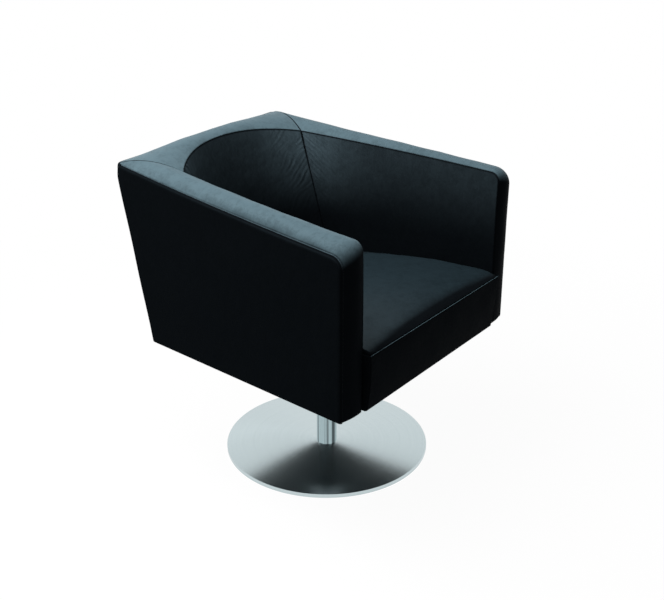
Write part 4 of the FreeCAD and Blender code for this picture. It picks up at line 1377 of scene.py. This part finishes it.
class ARMCHAIR_OT_hidden_parts(bpy.types.Operator):
    """Timber, board, straps, cloth and hardware under the leather"""

    bl_idname = "armchair.hidden_parts"
    bl_label = "Hidden parts"

    def execute(self, context):
        zinc = hard("zinc_plated_steel", (0.36, 0.38, 0.40), (0.52, 0.54, 0.55), 1.0, 0.38, 60)
        paint = hard("black_painted_steel", (0.008, 0.008, 0.009), (0.020, 0.020, 0.022),
                     0.0, 0.5, 30)
        rubber = hard("foot_pad_rubber", (0.012, 0.012, 0.013), (0.025, 0.025, 0.026), 0.0, 0.8, 40)
        nylon = hard("natural_bush_plastic", (0.60, 0.58, 0.52), (0.74, 0.72, 0.66), 0.0, 0.45, 50)
        timber = wood("dark_stained_beech", (0.016, 0.015, 0.014), (0.042, 0.038, 0.034),
                      (1, 1, 0.12))
        board = wood("black_stained_plywood", (0.010, 0.010, 0.011), (0.030, 0.030, 0.031),
                     (1, 0.1, 6))
        strap = woven("elastic_webbing", (0.16, 0.15, 0.13), (0.34, 0.32, 0.28), 2600)
        cloth = woven("black_dust_cloth", (0.020, 0.025, 0.028), (0.060, 0.073, 0.080), 4200)
        finishes = (
            (zinc, "post_plug foot_bolt spindle retaining_ring plate_screws"),
            (paint, "ballast_plate mounting_plate"),
            (rubber, "floor_pad"),
            (nylon, "lower_bush upper_bush"),
            (timber, "seat_frame arm_frame_left arm_frame_right back_frame"),
            (board, "seat_board"),
            (strap, "webbing"),
            (cloth, "dust_cover"))
        for material, nodes in finishes:
            for node in nodes.split():
                dress(node, material)
        return {"FINISHED"}


def backdrop_rays(shade):
    """1 for rays that should see the white backdrop: from the camera, a gloss or through glass."""
    camera = shade.add("ShaderNodeLightPath", output="Is Camera Ray")
    outputs = camera.socket.node.outputs
    glossy = Value(shade, outputs["Is Glossy Ray"])
    return (camera + glossy + Value(shade, outputs["Is Transmission Ray"])).clamped()


def white_world(studio):
    world = bpy.context.scene.world or bpy.data.worlds.new("studio")
    bpy.context.scene.world = world
    shade = Shade(world)
    seen = backdrop_rays(shade)
    level = seen * (1 - studio.sky) + studio.sky
    sockets = {"Color": (1, 1, 1, 1), "Strength": level}
    shade.finish(shade.add("ShaderNodeBackground", sockets=sockets))


def white_floor(studio):
    """Floor that glows white where it is seen, but for a share near the chair for shadows."""
    size = 20.0
    vertices = np.array([[-size, -size, 0], [size, -size, 0], [size, size, 0], [-size, size, 0]])
    mesh = bpy.data.meshes.new("studio_floor")
    mesh.from_pydata(vertices.tolist(), [], [[0, 1, 2, 3]])
    shade = Shade(bpy.data.materials.new("studio_floor_white"))
    seen = backdrop_rays(shade)
    far = shade.ramp(axis_distance(shade), 0.7, 1.8)
    share = seen * (studio.floor_glow + (1 - studio.floor_glow) * far)
    tone = shade.colour(seen, [studio.floor_tone] * 3, (1, 1, 1))
    glow = shade.add("ShaderNodeEmission", sockets={"Color": (1, 1, 1, 1), "Strength": 1.0})
    matt = shade.add("ShaderNodeBsdfDiffuse", sockets={"Color": tone})
    mesh.materials.append(shade.finish(shade.mixed(share, matt, glow)))
    floor = bpy.data.objects.new("studio_floor", mesh)
    bpy.context.scene.collection.objects.link(floor)


def soft_lamp(name, place, target, width, height, power):
    lamp = bpy.data.lights.new(name, "AREA")
    lamp.shape = "RECTANGLE"
    lamp.size = width
    lamp.size_y = height
    lamp.energy = power
    holder = bpy.data.objects.new(name, lamp)
    holder.matrix_world = looking(Vector(place), Vector(target))
    bpy.context.scene.collection.objects.link(holder)


def looking(place, target):
    """Matrix at a place whose -Z looks at the target, with +Y upwards."""
    turn = (place - target).to_track_quat("Z", "Y")
    return Matrix.Translation(place) @ turn.to_matrix().to_4x4()


def photo_camera():
    """Camera at the photograph's viewing angle."""
    flat = math.cos(CAMERA_PITCH)
    back = Vector((math.sin(CAMERA_AZIMUTH) * flat, -math.cos(CAMERA_AZIMUTH) * flat,
                   math.sin(CAMERA_PITCH)))
    right = Vector((math.cos(CAMERA_AZIMUTH), math.sin(CAMERA_AZIMUTH), 0))
    target = right * CAMERA_ASIDE + Vector((0, 0, CAMERA_HEIGHT))
    camera = bpy.data.cameras.new("photo_camera")
    camera.sensor_width = SENSOR_WIDTH
    camera.lens = FOCAL_PIXELS * SENSOR_WIDTH / PHOTO_PIXELS
    holder = bpy.data.objects.new("photo_camera", camera)
    holder.matrix_world = looking(target + back * CAMERA_DISTANCE, target)
    bpy.context.scene.collection.objects.link(holder)
    bpy.context.scene.camera = holder


class ARMCHAIR_OT_studio(bpy.types.Operator):
    """Plain pale floor, soft light and the camera"""

    bl_idname = "armchair.studio"
    bl_label = "Studio"

    def execute(self, context):
        studio = context.scene.armchair_studio
        white_world(studio)
        white_floor(studio)
        soft_lamp("lamp_behind", (-0.85, 1.15, 2.75), (0, 0, 0.5), 2.2, 1.5, studio.lamp_power)
        soft_lamp("lamp_over_seat", (-0.45, -0.05, 2.2), (0, 0, 0.4), 0.9, 0.9, studio.fill_power)
        photo_camera()
        context.scene.view_settings.view_transform = "Standard"
        return {"FINISHED"}


class ARMCHAIR_PT_build(bpy.types.Panel):
    """Lists the steps that dress the armchair"""

    bl_idname = "ARMCHAIR_PT_build"
    bl_label = "Armchair"
    bl_space_type = "VIEW_3D"
    bl_region_type = "UI"
    bl_category = "Armchair"

    def draw(self, context):
        for operator in OPERATORS:
            self.layout.operator(operator.bl_idname)
        for name in SETTINGS:
            box = self.layout.box()
            group = getattr(context.scene, name)
            for key in group.bl_rna.properties.keys():
                if key not in ("rna_type", "name"):
                    box.prop(group, key)


SETTINGS = {
    "armchair_leather": ArmchairLeather,
    "armchair_sewing": ArmchairSewing,
    "armchair_padding": ArmchairPadding,
    "armchair_steel": ArmchairSteel,
    "armchair_studio": ArmchairStudio,
}
OPERATORS = (
    ARMCHAIR_OT_foot,
    ARMCHAIR_OT_hidden_parts,
    ARMCHAIR_OT_bands,
    ARMCHAIR_OT_side_panels,
    ARMCHAIR_OT_rear_panel,
    ARMCHAIR_OT_inner_arm_panels,
    ARMCHAIR_OT_inner_back,
    ARMCHAIR_OT_seat_cushion,
    ARMCHAIR_OT_seat_front,
    ARMCHAIR_OT_stitching,
    ARMCHAIR_OT_studio,
)


def register():
    for name, group in SETTINGS.items():
        bpy.utils.register_class(group)
        setattr(bpy.types.Scene, name, PointerProperty(type=group))
    for operator in OPERATORS:
        bpy.utils.register_class(operator)
    bpy.utils.register_class(ARMCHAIR_PT_build)


def unregister():
    bpy.utils.unregister_class(ARMCHAIR_PT_build)
    for operator in reversed(OPERATORS):
        bpy.utils.unregister_class(operator)
    for name, group in SETTINGS.items():
        delattr(bpy.types.Scene, name)
        bpy.utils.unregister_class(group)


def plain(box):
    return [[float(value) for value in corner] for corner in box]


def main():
    register()
    for operator in OPERATORS:
        group, step = operator.bl_idname.split(".")
        getattr(getattr(bpy.ops, group), step)()


if __name__ == "__main__":
    main()
